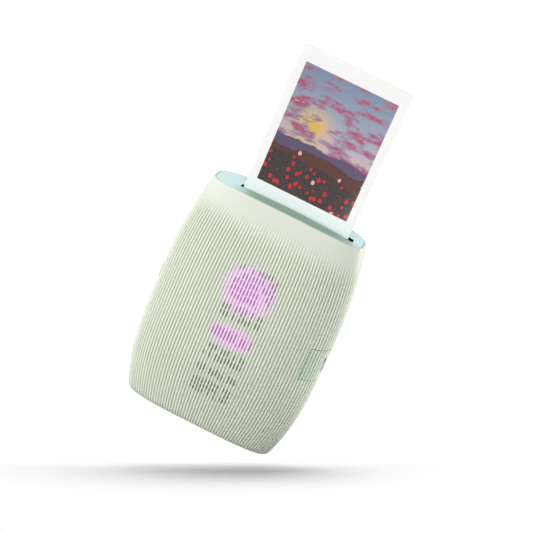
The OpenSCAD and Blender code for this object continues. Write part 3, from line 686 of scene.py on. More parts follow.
@dataclass(frozen=True)
class Moulded(Finish):
    """A moulded plastic: a fine spark-eroded grain and a slight drift of tone."""

    colour: Colour
    rough: float = 0.45
    grain_mm: float = 0.28
    grain_depth_mm: float = 0.012
    drift: float = 0.04
    coat: float = 0.0

    def base(self, s: Sketch) -> bpy.types.NodeSocket:
        """The plastic's colour with its drift."""
        drift = s.step(s.noise(s.place(), 45, 3), 0.3, 0.7)
        return s.mix(drift, dim(self.colour, 1 - self.drift), self.colour)

    def tone(self, s: Sketch) -> bpy.types.NodeSocket:
        """The whole colour, with what a kind of plastic adds to its base."""
        return self.base(s)

    def paint(self, s: Sketch) -> None:
        """Paints colour, roughness and grain."""
        s.put("Base Color", self.tone(s))
        grain = s.noise(s.place(), 1 / (self.grain_mm * MM), 2, 0.6)
        s.put("Roughness", s.step(grain, 0.25, 0.75, self.rough - 0.05, self.rough + 0.06))
        s.bump(grain, 0.6, self.grain_depth_mm)
        s.put("Coat Weight", self.coat)


@dataclass(frozen=True)
class Mark:
    """One rounded block of dashes on the front, in rows."""

    z: float
    tall: float
    rows: int


@dataclass(frozen=True)
class Glow:
    """A soft pink light behind the ribs, painted onto their colour."""

    x: float
    z: float
    wide: float
    tall: float


@dataclass(frozen=True)
class RibbedPlastic(Moulded):
    """The case's plastic, with painted shade in its rib valleys, weaker toward the two sides."""

    # Painted shade in the rib valleys.
    valley_shade_colour: Colour = (0.3, 0.35, 0.27, 1.0)
    # The smooth band's colour; the ribbed crests below it carry a painted highlight.
    band_colour: Colour = (0.66, 0.72, 0.62, 1.0)
    # Painted shade along the foot, and the dark joint line with the cap along the top rim.
    foot_shade_seam_colour: Colour = (0.3, 0.36, 0.28, 1.0)

    def base(self, s: Sketch) -> bpy.types.NodeSocket:
        """The crests' colour, painted lighter than the smooth band under the rim as a highlight."""
        height = s.attribute("height")
        colour = s.mix(s.step(height, 106, 119), Moulded.base(self, s), self.band_colour)
        # Painted shade along the foot, and a thin dark joint line at the top rim.
        foot_shade_and_seam = s.most(s.step(height, 0.8, 4.4, 0.45, 0.0), s.step(height, 124.7, 124.95, 0.0, 0.25))
        return s.mix(foot_shade_and_seam, colour, self.foot_shade_seam_colour)

    def depth(self, s: Sketch) -> bpy.types.NodeSocket:
        """Strength of the painted valley shade, weaker near the foot and toward the two sides."""
        turn = s.times(s.attribute("stave"), math.pi / (2 * FORM.quarter))
        face_on = s.math("ABSOLUTE", s.math("COSINE", turn))
        low = s.step(s.attribute("height"), 2, 35, 0.72, 1.0)
        return s.times(s.attribute("valley"), low, s.step(face_on, 0.08, 0.26, 0.3, 1.0))

    def tone(self, s: Sketch) -> bpy.types.NodeSocket:
        """The colour of crests and valleys together, with the painted valley shade."""
        return s.mix(self.depth(s), self.base(s), self.valley_shade_colour)


@dataclass(frozen=True)
class GripPlastic(RibbedPlastic):
    """The grip's plastic, greener toward its front edge."""

    tint: Colour = (0.5, 0.7, 0.5, 1.0)
    from_stave: float = 46.0
    to_stave: float = 58.0
    # Colour of the painted shadow in the gap round the grip.
    seam_shadow: Colour = (0.06, 0.08, 0.06, 1.0)
    seam_low: float = 50.64
    seam_top: float = 68.86

    def base(self, s: Sketch) -> bpy.types.NodeSocket:
        """The grip's colour with its tint."""
        toward = s.step(s.attribute("stave"), self.from_stave, self.to_stave, 1.0, 0.0)
        return s.mix(toward, Moulded.base(self, s), self.tint)

    def tone(self, s: Sketch) -> bpy.types.NodeSocket:
        """The ribs' colour, with a painted shadow of the gap along the grip's edges, darkest along
        the top.
        """
        height, top, low, front = (s.attribute("height"), self.seam_top, self.seam_low,
                                   self.from_stave)
        # Painted shadow of the gap: strong along the top edge, weaker along the low and front
        # edges.
        edges = s.most(s.step(height, top - 0.35, top - 0.1, 0.0, 0.7),
                       s.step(height, low + 0.05, low + 0.3, 0.4, 0.0),
                       s.step(s.attribute("stave"), front + 0.3, front + 0.7, 0.4, 0.0))
        return s.mix(edges, RibbedPlastic.tone(self, s), self.seam_shadow)


@dataclass(frozen=True)
class FrontPlastic(RibbedPlastic):
    """The front's plastic: dashes in the valleys, and the pink light from behind painted on."""

    marks: tuple[Mark, ...] = ()
    glows: tuple[Glow, ...] = ()
    mark_stave: float = 1.2
    mark_half: float = 12.8
    mark_power: float = 5.0
    glow_power: float = 2.4
    missing: float = 0.2
    slip: float = 0.5
    dash: Colour = (0.07, 0.09, 0.06, 1.0)
    # Pink-lit copies of the dash, crest and valley colours, for the painted light.
    lit_dash: Colour = (0.35, 0.03, 0.36, 1.0)
    lit_crest: Colour = (0.85, 0.65, 0.85, 1.0)
    lit_valley: Colour = (0.62, 0.24, 0.62, 1.0)

    def block(self, s: Sketch, stave: object, height: object, mark: Mark) -> bpy.types.NodeSocket:
        """A rounded block of dashes, 1 inside and 0 outside."""
        far = s.oval(s.past(stave, self.mark_stave, self.mark_half),
                     s.past(height, mark.z, mark.tall / 2), self.mark_power)
        inside = s.step(far, 0.85, 1.25, 1.0, 0.0)
        rib = s.math("FLOOR", s.times(stave, 0.5))
        row = s.times(s.math("SUBTRACT", height, mark.z - mark.tall / 2), mark.rows / mark.tall)
        slip = s.times(s.math("SUBTRACT", s.chance(rib, mark.z), 0.5), self.slip)
        row = s.math("ADD", row, slip)
        gap = s.math("ABSOLUTE", s.math("SUBTRACT", s.math("FRACT", row), 0.5))
        drawn = s.chance(rib, s.math("ADD", s.math("FLOOR", row), mark.z))
        there = s.math("GREATER_THAN", drawn, self.missing)
        return s.times(inside, there, s.step(gap, 0.34, 0.46, 1.0, 0.0))

    def halo(self, s: Sketch, x: object, z: object, glow: Glow) -> bpy.types.NodeSocket:
        """The spread of one pink light, 1 in its middle."""
        far = s.oval(s.past(x, glow.x, glow.wide), s.past(z, glow.z, glow.tall), self.glow_power)
        return s.step(far, 0.0, 1.6, 1.0, 0.0)

    def tone(self, s: Sketch) -> bpy.types.NodeSocket:
        """The ribs' colour with its marks and the painted pink light, which also glows a little."""
        stave, height = s.attribute("stave"), s.attribute("height")
        x = s.times(stave, FORM.half_rib)
        ink = s.most(*(self.block(s, stave, height, mark) for mark in self.marks))
        lit = s.most(*(self.halo(s, x, height, glow) for glow in self.glows))
        crest = s.mix(s.times(lit, 0.85), self.base(s), self.lit_crest)
        # The painted valley shade, turned pink where the pink light is painted.
        shaded_valley = s.mix(lit, self.valley_shade_colour, self.lit_valley)
        colour = s.mix(self.depth(s), crest, shaded_valley)
        stroke = s.mix(s.step(lit, 0.3, 0.75), self.dash, self.lit_dash)
        dash = s.times(ink, s.step(s.attribute("valley"), 0.25, 0.6, 0.0, 0.88))
        s.put("Emission Color", self.lit_crest)
        s.put("Emission Strength", s.times(lit, 0.05))
        return s.mix(dash, colour, stroke)


@dataclass(frozen=True)
class CapPlastic(Moulded):
    """The cap's plastic, with painted shadow of the film in front of it and painted shade inside
    the slot.
    """

    # Painted film shadow, its darker line at the film's foot, and the slot's painted shade.
    film_shadow_tint: Colour = (0.4, 0.6, 0.5, 1.0)
    line: Colour = (0.11, 0.18, 0.14, 1.0)
    dark: Colour = (0.01, 0.01, 0.01, 1.0)
    slot_x0: float = -25.1
    slot_x1: float = 32.9
    slot_y0: float = -3.375
    slot_y1: float = -0.375

    def base(self, s: Sketch) -> bpy.types.NodeSocket:
        """The cap's colour by place, with its painted shadow and shade."""
        x, y, _ = s.split(s.place())
        middle, half = (self.slot_x0 + self.slot_x1) / 2, (self.slot_x1 - self.slot_x0) / 2
        front, back, edge = self.slot_y0, self.slot_y1, 0.02
        beside = s.math("ABSOLUTE", s.math("SUBTRACT", x, middle * MM))
        # Painted shadow of the film, tinted green, on the cap in front of it, fading out past the
        # slot's ends.
        film_shadow_strip = s.times(s.step(beside, (half - 8) * MM, (half + 7) * MM, 1.0, 0.0),
                        s.step(y, (front - 0.1) * MM, (front + 0.4) * MM, 1.0, 0.0))
        colour = s.mix(film_shadow_strip, Moulded.base(self, s), self.film_shadow_tint)
        # A darker painted shadow line along the film's foot, at the slot's front edge.
        foot = s.step(y, (front - 0.35) * MM, (front - 0.1) * MM, 0.0, 0.6)
        colour = s.mix(s.times(film_shadow_strip, foot), colour, self.line)
        # Painted black shade down inside the slot.
        inside = s.times(s.math("LESS_THAN", beside, (half + edge) * MM),
                         s.math("GREATER_THAN", y, (front - edge) * MM),
                         s.math("LESS_THAN", y, (back + edge) * MM))
        return s.mix(inside, colour, self.dark)


@dataclass(frozen=True)
class Metal(Finish):
    """A bright metal with fine lines from turning or drawing."""

    colour: Colour
    rough: float = 0.28
    line_scale: tuple[float, float, float] = (9000.0, 300.0, 300.0)

    def paint(self, s: Sketch) -> None:
        """Paints colour, roughness and relief."""
        lines = s.noise(s.scaled(*self.line_scale), 1.0, 3)
        s.put("Base Color", s.mix(s.step(lines, 0.2, 0.8), dim(self.colour, 0.8), self.colour))
        s.put("Metallic", 1.0)
        s.put("Roughness", s.step(lines, 0.2, 0.8, self.rough - 0.08, self.rough + 0.1))
        s.bump(lines, 0.35, 0.01)


@dataclass(frozen=True)
class Board(Finish):
    """A circuit board: solder mask over copper tracks, with bright pads."""

    mask: Colour
    track: Colour
    pad: Colour

    def paint(self, s: Sketch) -> None:
        """Paints colour, roughness and relief."""
        cells = s.node("ShaderNodeTexBrick", {"Vector": s.scaled(1, 1, 1), "Scale": 260.0,
                                              "Mortar Size": 0.02, "Color1": (0, 0, 0, 1),
                                              "Color2": (0.4, 0.4, 0.4, 1),
                                              "Mortar": (1, 1, 1, 1)}).outputs[1]
        dots = s.node("ShaderNodeTexVoronoi", {"Vector": s.scaled(1000, 1000, 1000), "Scale": 0.45,
                                               "Randomness": 0.25}).outputs["Distance"]
        pads = s.step(dots, 0.16, 0.2, 1.0, 0.0)
        tracked = s.mix(s.times(cells, 0.6), self.mask, self.track)
        s.put("Base Color", s.mix(pads, tracked, self.pad))
        s.put("Roughness", s.step(pads, 0, 1, 0.35, 0.25))
        s.put("Metallic", s.times(pads, 0.9))
        s.bump(s.math("ADD", cells, pads), 0.5, 0.03)


@dataclass(frozen=True)
class Clear(Finish):
    """A clear or tinted plastic."""

    colour: Colour
    rough: float = 0.05
    see_through: float = 1.0

    def paint(self, s: Sketch) -> None:
        """Paints colour, roughness and relief."""
        haze = s.noise(s.place(), 900, 2)
        s.put("Base Color", s.mix(s.times(haze, 0.15), self.colour, dim(self.colour, 0.8)))
        s.put("Roughness", s.step(haze, 0.3, 0.7, self.rough, self.rough + 0.05))
        s.put("Transmission Weight", self.see_through)
        s.put("IOR", 1.49)
        s.bump(haze, 0.1, 0.01)


@dataclass(frozen=True)
class LitGuide(Finish):
    """A light guide that glows softly from within."""

    colour: Colour

    def paint(self, s: Sketch) -> None:
        """Paints colour, roughness and relief."""
        haze = s.noise(s.place(), 400, 2)
        s.put("Base Color", s.mix(haze, self.colour, srgb(250, 235, 248)))
        s.put("Roughness", s.step(haze, 0.3, 0.7, 0.35, 0.5))
        s.put("Emission Color", s.mix(haze, self.colour, srgb(250, 200, 245)))
        s.put("Emission Strength", 0.35)
        s.bump(haze, 0.2, 0.02)


@dataclass(frozen=True)
class Wrap(Finish):
    """The thin film round a flat battery, wrinkled a little."""

    colour: Colour

    def paint(self, s: Sketch) -> None:
        """Paints colour, roughness and relief."""
        crease = s.noise(s.scaled(120, 120, 40), 1.0, 4, 0.6)
        s.put("Base Color", s.mix(crease, dim(self.colour, 0.75), self.colour))
        s.put("Roughness", s.step(crease, 0.3, 0.7, 0.28, 0.42))
        s.bump(crease, 0.5, 0.15)


@dataclass(frozen=True)
class PrintPaper(Finish):
    """The glossy white border of an instant print, with the cap's green reflection painted along
    its foot.
    """

    colour: Colour
    foot: Colour
    foot_z: float = 131.4

    def paint(self, s: Sketch) -> None:
        """Paints colour, roughness and relief."""
        fibre = s.noise(s.place(), 1500, 3)
        paper = s.mix(fibre, dim(self.colour, 0.985), self.colour)
        # Painted green reflection of the cap, along the print's foot.
        low = s.step(s.split(s.place())[2], (self.foot_z - 3) * MM, (self.foot_z + 1) * MM, 1, 0)
        s.put("Base Color", s.mix(low, paper, self.foot))
        s.put("Roughness", s.step(fibre, 0.3, 0.7, 0.22, 0.3))
        s.bump(fibre, 0.15, 0.01)


@dataclass(frozen=True)
class DuskPicture(Finish):
    """A made-up dusk landscape: sky, sun, pink clouds, dark hills and red flowers."""

    x0: float
    z0: float
    wide: float
    tall: float
    sun: tuple[float, float] = (0.3, 0.56)

    def ridge(self, s: Sketch, u: object, v: object, at: float, high: float, scale: float,
              seed: float) -> bpy.types.NodeSocket:
        """1 under a hill's ridge line, 0 over it."""
        line = s.node("ShaderNodeCombineXYZ", {0: u, 1: seed})
        wave = s.noise(line.outputs[0], scale, 4, 0.55)
        edge = s.math("MULTIPLY_ADD", wave, high, at)
        return s.step(s.math("SUBTRACT", edge, v), -0.004, 0.006)

    def disc(self, s: Sketch, u: object, v: object, at: tuple[float, float], radius: float,
             soft: float) -> bpy.types.NodeSocket:
        """1 inside a round spot."""
        du = s.times(s.math("SUBTRACT", u, at[0]), self.wide / self.tall)
        dv = s.math("SUBTRACT", v, at[1])
        far = s.math("SQRT", s.math("ADD", s.times(du, du), s.times(dv, dv)))
        return s.step(far, radius - soft, radius + soft, 1.0, 0.0)

    def paint(self, s: Sketch) -> None:
        """Paints colour, roughness and relief."""
        x, _, z = s.split(s.place())
        u, v = s.past(x, self.x0 * MM, self.wide * MM), s.past(z, self.z0 * MM, self.tall * MM)
        flat = s.node("ShaderNodeCombineXYZ", {0: u, 1: v}).outputs[0]
        colour = s.ramp(v, [(0.36, srgb(214, 180, 156)), (0.5, srgb(186, 170, 182)),
                            (0.72, srgb(150, 158, 178)), (1.0, srgb(118, 142, 168))])
        for radius, soft, tone in ((0.13, 0.1, (214, 182, 128)), (0.075, 0.006, (214, 178, 92))):
            colour = s.mix(self.disc(s, u, v, self.sun, radius, soft), colour, srgb(*tone))
        bank = s.node("ShaderNodeMapping", {"Vector": flat, "Scale": (2.2, 7.0, 1.0)}).outputs[0]
        cloud = s.noise(bank, 1.6, 5, 0.6)
        for low, high, tone in ((0.46, 0.54, (150, 128, 150)), (0.54, 0.6, (172, 76, 116)),
                                (0.63, 0.67, (196, 164, 112))):
            colour = s.mix(s.step(cloud, low, high), colour, srgb(*tone))
        colour = s.mix(self.ridge(s, u, v, 0.34, 0.16, 3.0, 1.7), colour, srgb(88, 74, 104))
        mid_hill = self.ridge(s, u, v, 0.24, 0.22, 2.2, 5.3)
        colour = s.mix(mid_hill, colour, srgb(84, 46, 38))
        near_hill = self.ridge(s, u, v, 0.14, 0.24, 1.7, 9.1)
        grass = s.noise(flat, 60, 3, 0.7)
        colour = s.mix(near_hill, colour, s.ramp(grass, [(0.35, srgb(26, 22, 26)),
                                                        (0.65, srgb(74, 58, 56))]))
        blooms = s.node("ShaderNodeTexVoronoi", {"Vector": flat, "Scale": 17.0}).outputs
        petal = s.step(blooms["Distance"], 0.3, 0.36, 1.0, 0.0)
        pick = s.split(blooms["Color"])[0]
        for hill, how, limit, tone in ((near_hill, "GREATER_THAN", 0.3, (196, 26, 34)),
                                       (mid_hill, "LESS_THAN", 0.12, (214, 170, 180))):
            flower = s.times(petal, hill, s.math(how, pick, limit))
            colour = s.mix(flower, colour, srgb(*tone))
        s.put("Base Color", colour)
        s.put("Roughness", s.step(grass, 0.2, 0.8, 0.16, 0.2))
        s.bump(grass, 0.05, 0.01)


MARKS = (Mark(86.3, 18.5, 5), Mark(70.5, 8.4, 2), Mark(58.2, 6.6, 1), Mark(46.6, 8.6, 2),
         Mark(36.0, 5, 1), Mark(25.8, 9.4, 3))
GLOWS = (Glow(-0.4, 83.2, 13.4, 12.6), Glow(0.9, 57.8, 11.5, 6.4))
# The crests' sage carries their painted highlight; the darker sage is painted shade for the rib
# valleys.
SAGE, SAGE_VALLEY_SHADE, AQUA = srgb(224, 231, 214), srgb(152, 165, 141), srgb(196, 223, 225)


class Finishes:
    """Every finish, built once and handed out by the record's slot."""

    def __init__(self) -> None:
        """Builds the materials."""
        self.front = FrontPlastic("sage_front_plastic", SAGE, 0.42, valley_shade_colour=SAGE_VALLEY_SHADE,
                                  marks=MARKS, glows=GLOWS).make()
        self.cap = CapPlastic("cap_top_plastic", AQUA, 0.34, grain_depth_mm=0.006, drift=0.02,
                              film_shadow_tint=srgb(140, 170, 151)).make()
        self.by_slot: dict[Slot, bpy.types.Material] = {
            Slot.SAGE: RibbedPlastic("sage_shell_plastic", SAGE, 0.42,
                                     valley_shade_colour=SAGE_VALLEY_SHADE).make(),
            Slot.AQUA: Moulded("aqua_cap_plastic", AQUA, 0.34, grain_depth_mm=0.006,
                               drift=0.02).make(),
            Slot.ACCENT: GripPlastic("accent_green_plastic", srgb(224, 234, 218), 0.42,
                                     valley_shade_colour=srgb(140, 162, 134),
                                     tint=srgb(203, 223, 198)).make(),
            Slot.BLACK: Moulded("black_plastic", srgb(34, 35, 37), 0.42, 0.35, 0.02, 0.25).make(),
            Slot.WINDOW: Clear("dark_window_pane", srgb(40, 38, 40), 0.06, 0.35).make(),
            Slot.STEEL: Metal("bright_steel", srgb(196, 199, 204)).make(),
            Slot.PAPER: PrintPaper("film_paper_white", srgb(244, 243, 241),
                                   srgb(232, 244, 243)).make(),
            Slot.RESIN: Moulded("gear_resin_white", srgb(232, 228, 214), 0.4, 0.2, 0.006).make(),
            Slot.BRASS: Metal("turned_brass", srgb(214, 176, 92), 0.25).make(),
            Slot.LENS: Clear("clear_lens_strip", srgb(205, 228, 240), 0.03).make(),
            Slot.BOARD: Board("circuit_board", srgb(22, 84, 54), srgb(56, 128, 82),
                              srgb(214, 188, 128)).make(),
            Slot.SHIELD: Metal("shield_tin", srgb(168, 172, 176), 0.38,
                               (400.0, 400.0, 400.0)).make(),
            Slot.WRAP: Wrap("battery_wrap_film", srgb(74, 86, 104)).make(),
            Slot.LIGHT: LitGuide("light_guide_pink", srgb(244, 170, 232)).make(),
        }

    def dress(self, o: bpy.types.Object, slot: Slot, mat: bpy.types.Material | None = None) -> None:
        """Gives a piece one finish all over."""
        o.data.materials.clear()
        o.data.materials.append(mat or self.by_slot[slot])


# ---- Sub-assemblies ----


@dataclass
class SubAssembly:
    """A group of pieces that is built and dressed together."""

    finishes: Finishes

    def keep(self, o: bpy.types.Object, body: str, slot: Slot, node: str,
             mat: bpy.types.Material | None = None) -> None:
        """Dresses a finished piece and puts it on its body.

        Args:
            o: the piece.
            body: the body that it rides on.
            slot: the record's slot.
            node: the node that it stands for.
            mat: its material, if not the slot's own.
        """
        self.finishes.dress(o, slot, mat)
        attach(o, body)
        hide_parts(node)
        LOG.info("%s: %d faces on %s", o.name, len(o.data.polygons), body)


@dataclass
class Case(SubAssembly):
    """Front and rear shells with their bosses, posts and knuckles, the film door and its grip."""

    grip: Opening = Opening(46, RIGHT, 50.5, 69, 2.0, True, False)
    grip_c1: float = 82.22
    past_grip: float = 90.0
    grip_round: float = 1.9
    grip_gap: float = 0.14
    lock_slot_w: float = 4.2
    lock_slot_len: float = 8.6
    lock_slot_z: float = 59.75
    slot_lead: float = 1.6
    button: tuple[float, float, float] = (66.0, 10.2, 4.2)
    port: tuple[float, float, float] = (24.0, 9.14, 3.46)
    door: Opening = Opening(82, 176, 16, 110, 1.5)
    door_gap: float = 0.2
    door_hinge_gap: float = 0.4
    door_round: float = 1.3
    window: Opening = Opening(124, 132, 84, 98, 1.2)
    hinge: tuple[float, float] = (-37.7047, 10.13)
    hinge_mid: float = 60.0
    hinge_len: float = 32.0
    hinge_c1: float = 177.5
    hinge_notch: float = 1.85
    door_knuckle: float = 16.0
    knuckle_gap: float = 0.1
    knuckle_r: float = 1.3
    bore_r: float = 0.65
    bore_past: float = 1.0
    notch_round: float = 0.999
    boss_r: float = 2.2
    boss_end: float = -1.0
    bosses: tuple[tuple[float, float], ...] = ((-31.5, 24), (-31.5, 72), (36.4, 24), (36.4, 84))
    light_posts: tuple[tuple[float, float], ...] = ((-9.8, 42), (-9.8, 66), (13.8, 42), (13.8, 66))
    light_post_end: float = -11.2
    post_r: float = 1.4
    post_end: float = 1.0
    posts: tuple[tuple[float, float], ...] = ((-37.75, 16), (37.75, 16), (-39.85, 76), (39.85, 76))

    def side_notch(self, edge: float, middle: float, size: tuple[float, float, float]) -> Opening:
        """Half of a pill-shaped opening at a shell's edge.

        Args:
            edge: the stave of the shell's edge.
            middle: which way into the shell the notch goes, 1 or -1.
            size: middle height, length and width of the pill.

        Returns:
            The opening.
        """
        z, tall, wide = size
        reach = wide / 2 / FORM.half_rib
        c0, c1 = (edge, edge + reach) if middle > 0 else (edge - reach, edge)
        return Opening(c0, c1, z - tall / 2, z + tall / 2, wide / 2 * self.notch_round,
                       middle < 0, middle > 0)

    def tube(self, name: str, z: float, length: float) -> bpy.types.Object:
        """A hinge knuckle with its bore.

        Args:
            name: the piece's name.
            z: height of its low end.
            length: its length.

        Returns:
            The knuckle.
        """
        knuckle = rod(name, Axis.Z, (*self.hinge, z), self.knuckle_r, length)
        bore = rod("bore_tool", Axis.Z, (*self.hinge, z - self.bore_past), self.bore_r,
                   length + 2 * self.bore_past)
        apply_modifier(knuckle, "BOOLEAN", object=bore, operation="DIFFERENCE", solver="EXACT")
        bpy.data.objects.remove(bore)
        return knuckle

    def pillars(self, name: str, places: Sequence[tuple[float, float]], radius: float,
                end: float) -> list[bpy.types.Object]:
        """Round pillars from inside the wall to a plane inside the case.

        Args:
            name: the start of their names.
            places: where they stand, across and up.
            radius: their radius.
            end: the plane, in front of the middle where it is below 0.

        Returns:
            The pillars.
        """
        made = []
        for i, (x, z) in enumerate(places):
            reach = FORM.depth_at(abs(x) + radius, z) - FORM.wall / 2
            low = -reach if end < 0 else end
            made.append(rod(f"{name}_{i}", Axis.Y, (x, low, z), radius, reach - abs(end)))
        return made

    def build_front(self) -> None:
        """The front shell with its screw bosses and the light board's posts."""
        notches = (self.grip, self.side_notch(LEFT_OF_FRONT, 1, self.button),
                   self.side_notch(LEFT_OF_FRONT, 1, self.port))
        shell = RibbedSheet("front_case", LEFT_OF_FRONT, RIGHT, 0, FORM.body_h, notches).build()
        bosses = self.pillars("boss", self.bosses, self.boss_r, self.boss_end)
        posts = self.pillars("light_post", self.light_posts, self.post_r, self.light_post_end)
        self.keep(join([shell, *bosses, *posts]), "case", Slot.SAGE, "front_shell",
                  self.finishes.front)

    def build_rear(self) -> None:
        """The rear shell with its door opening, knuckles and posts."""
        mid, half, gap = self.hinge_mid, self.door_knuckle / 2, self.knuckle_gap
        beside = Opening(self.door.c1, self.hinge_c1, mid - half - gap, mid + half + gap)
        grip = Opening(RIGHT, self.door.c0, self.grip.z0, self.grip.z1)
        notches = (self.door, beside, grip, self.side_notch(LEFT_OF_BACK, -1, self.button),
                   self.side_notch(LEFT_OF_BACK, -1, self.port))
        shell = RibbedSheet("rear_case", RIGHT, LEFT_OF_BACK, 0, FORM.body_h, notches).build()
        length = self.hinge_len / 2 - half - gap
        knuckles = [self.tube(f"case_knuckle_{i}", z, length)
                    for i, z in enumerate((mid - self.hinge_len / 2, mid + half + gap))]
        posts = self.pillars("post", self.posts, self.post_r, self.post_end)
        self.keep(join([shell, *knuckles, *posts]), "case", Slot.SAGE, "rear_shell")

    def build_door(self) -> None:
        """The film door with its window and its own knuckle."""
        hole, gap = self.door, self.door_gap
        mid, half, end = self.hinge_mid, self.door_knuckle / 2, self.hinge_len / 2 + gap
        c1 = hole.c1 - self.door_hinge_gap / FORM.half_rib
        beside = (Opening(c1 - self.hinge_notch, c1, mid - end, mid - half),
                  Opening(c1 - self.hinge_notch, c1, mid + half, mid + end))
        outline = Opening(hole.c0 + gap / FORM.half_rib, c1, hole.z0 + gap, hole.z1 - gap,
                          self.door_round)
        leaf = RibbedSheet("film_door_leaf", outline.c0, c1, outline.z0, outline.z1,
                           (self.window, *beside), outline).build()
        knuckle = self.tube("door_knuckle", mid - half, self.door_knuckle)
        self.keep(join([leaf, knuckle]), "door", Slot.SAGE, "film_door")

    def build_grip(self) -> None:
        """The deeper green grip with the slot that the lock slides in."""
        hole, gap = self.grip, self.grip_gap
        half = self.lock_slot_w / 2 / FORM.half_rib
        slot = Opening(RIGHT - half - self.slot_lead / FORM.half_rib, RIGHT + half,
                       self.lock_slot_z - self.lock_slot_len / 2,
                       self.lock_slot_z + self.lock_slot_len / 2, self.lock_slot_w / 2)
        outline = Opening(hole.c0 + gap / FORM.half_rib, self.past_grip, hole.z0 + gap,
                          hole.z1 - gap, self.grip_round, True, False)
        grip = RibbedSheet("side_grip", outline.c0, self.grip_c1, outline.z0, outline.z1, (slot,),
                           outline).build()
        self.keep(grip, "door", Slot.ACCENT, "door_grip")


@dataclass
class InstantPrint(SubAssembly):
    """The print that stands in the slot: border, sunk picture and dark back."""

    film_x: float = 3.3
    film_y: float = -3.0
    wide: float = 54.0
    tall: float = 86.0
    thick: float = 0.25
    low: float = 115.0
    picture_low: float = 16.4
    picture_wide: float = 46.0
    picture_tall: float = 62.0
    corner: float = 0.8
    sunk: float = 0.03
    sunk_edge: float = 0.05

    def cut(self, sheet: bpy.types.Object, at: Vector, across: Axis) -> None:
        """Cuts every face of the sheet along a plane."""
        edit_only(sheet, Part.FACE, lambda p: True)
        bpy.ops.mesh.bisect(plane_co=at * MM, plane_no=across.value)
        leave_edit()

    def build(self) -> None:
        """Makes the sheet with its picture."""
        middle = Vector((self.film_x, self.film_y, self.low + self.tall / 2)) * MM
        sheet = new_piece("instant_print", bpy.ops.mesh.primitive_cube_add, size=1.0,
                          location=middle)
        sheet.scale = (self.wide * MM, self.thick * MM, self.tall * MM)
        settle(sheet)
        y = [v.co.y for v in sheet.data.vertices]
        edit_only(sheet, Part.EDGE,
                  lambda e: abs(y[e.vertices[0]] - y[e.vertices[1]]) > self.thick * MM / 2)
        bpy.ops.mesh.bevel(offset=self.corner * MM, segments=5, affect="EDGES")
        leave_edit()
        x0, z0 = self.film_x - self.picture_wide / 2, self.low + self.picture_low
        for x in (x0, x0 + self.picture_wide):
            self.cut(sheet, Vector((x, 0, 0)), Axis.X)
        for z in (z0, z0 + self.picture_tall):
            self.cut(sheet, Vector((0, 0, z)), Axis.Z)
        edit_only(sheet, Part.FACE, self.is_picture)
        bpy.ops.mesh.inset(thickness=self.sunk_edge * MM, depth=-self.sunk * MM)
        leave_edit()
        smooth(sheet, 40)
        self.keep(sheet, "film", Slot.PAPER, "film_sheet")
        for finish in (DuskPicture("print_picture", x0, z0, self.picture_wide, self.picture_tall),
                       Moulded("print_back", srgb(38, 38, 42), 0.35, 0.4, 0.004, 0.1)):
            sheet.data.materials.append(finish.make())
        for p in sheet.data.polygons:
            p.material_index = 1 if self.is_picture(p) else 2 if p.normal.y > 0.9 else 0

    def is_picture(self, p: bpy.types.MeshPolygon) -> bool:
        """Whether a face is the picture, in the middle of the print's front."""
        z = self.low + self.picture_low + self.picture_tall / 2
        off = math.hypot(p.center.x - self.film_x * MM, p.center.z - z * MM)
        return p.normal.y < -0.9 and off < 4 * MM


@dataclass
class Works(SubAssembly):
    """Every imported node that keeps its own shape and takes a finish."""

    def dress_nodes(self) -> None:
        """Gives each shown node the finish of its slot."""
        slots = {row["node"]: row["material_slot"] for row in frame["record"]["subparts"]}
        for name, node in frame["nodes"].items():
            if node.hide_render:
                continue
            self.finishes.dress(node, Slot(slots[name]),
                                self.finishes.cap if name == "top_cap" else None)
            LOG.info("%s dressed as %s", name, slots[name])


# ---- Studio ----


@dataclass(frozen=True)
class Lamp:
    """A soft round lamp: its direction from the case, distance, size and strength.

    The strength is the share of a colour's written brightness that the lamp alone gives to a
    surface that faces it.
    """

    name: str
    toward: tuple[float, float, float]
    far: float
    size: float
    strength: float


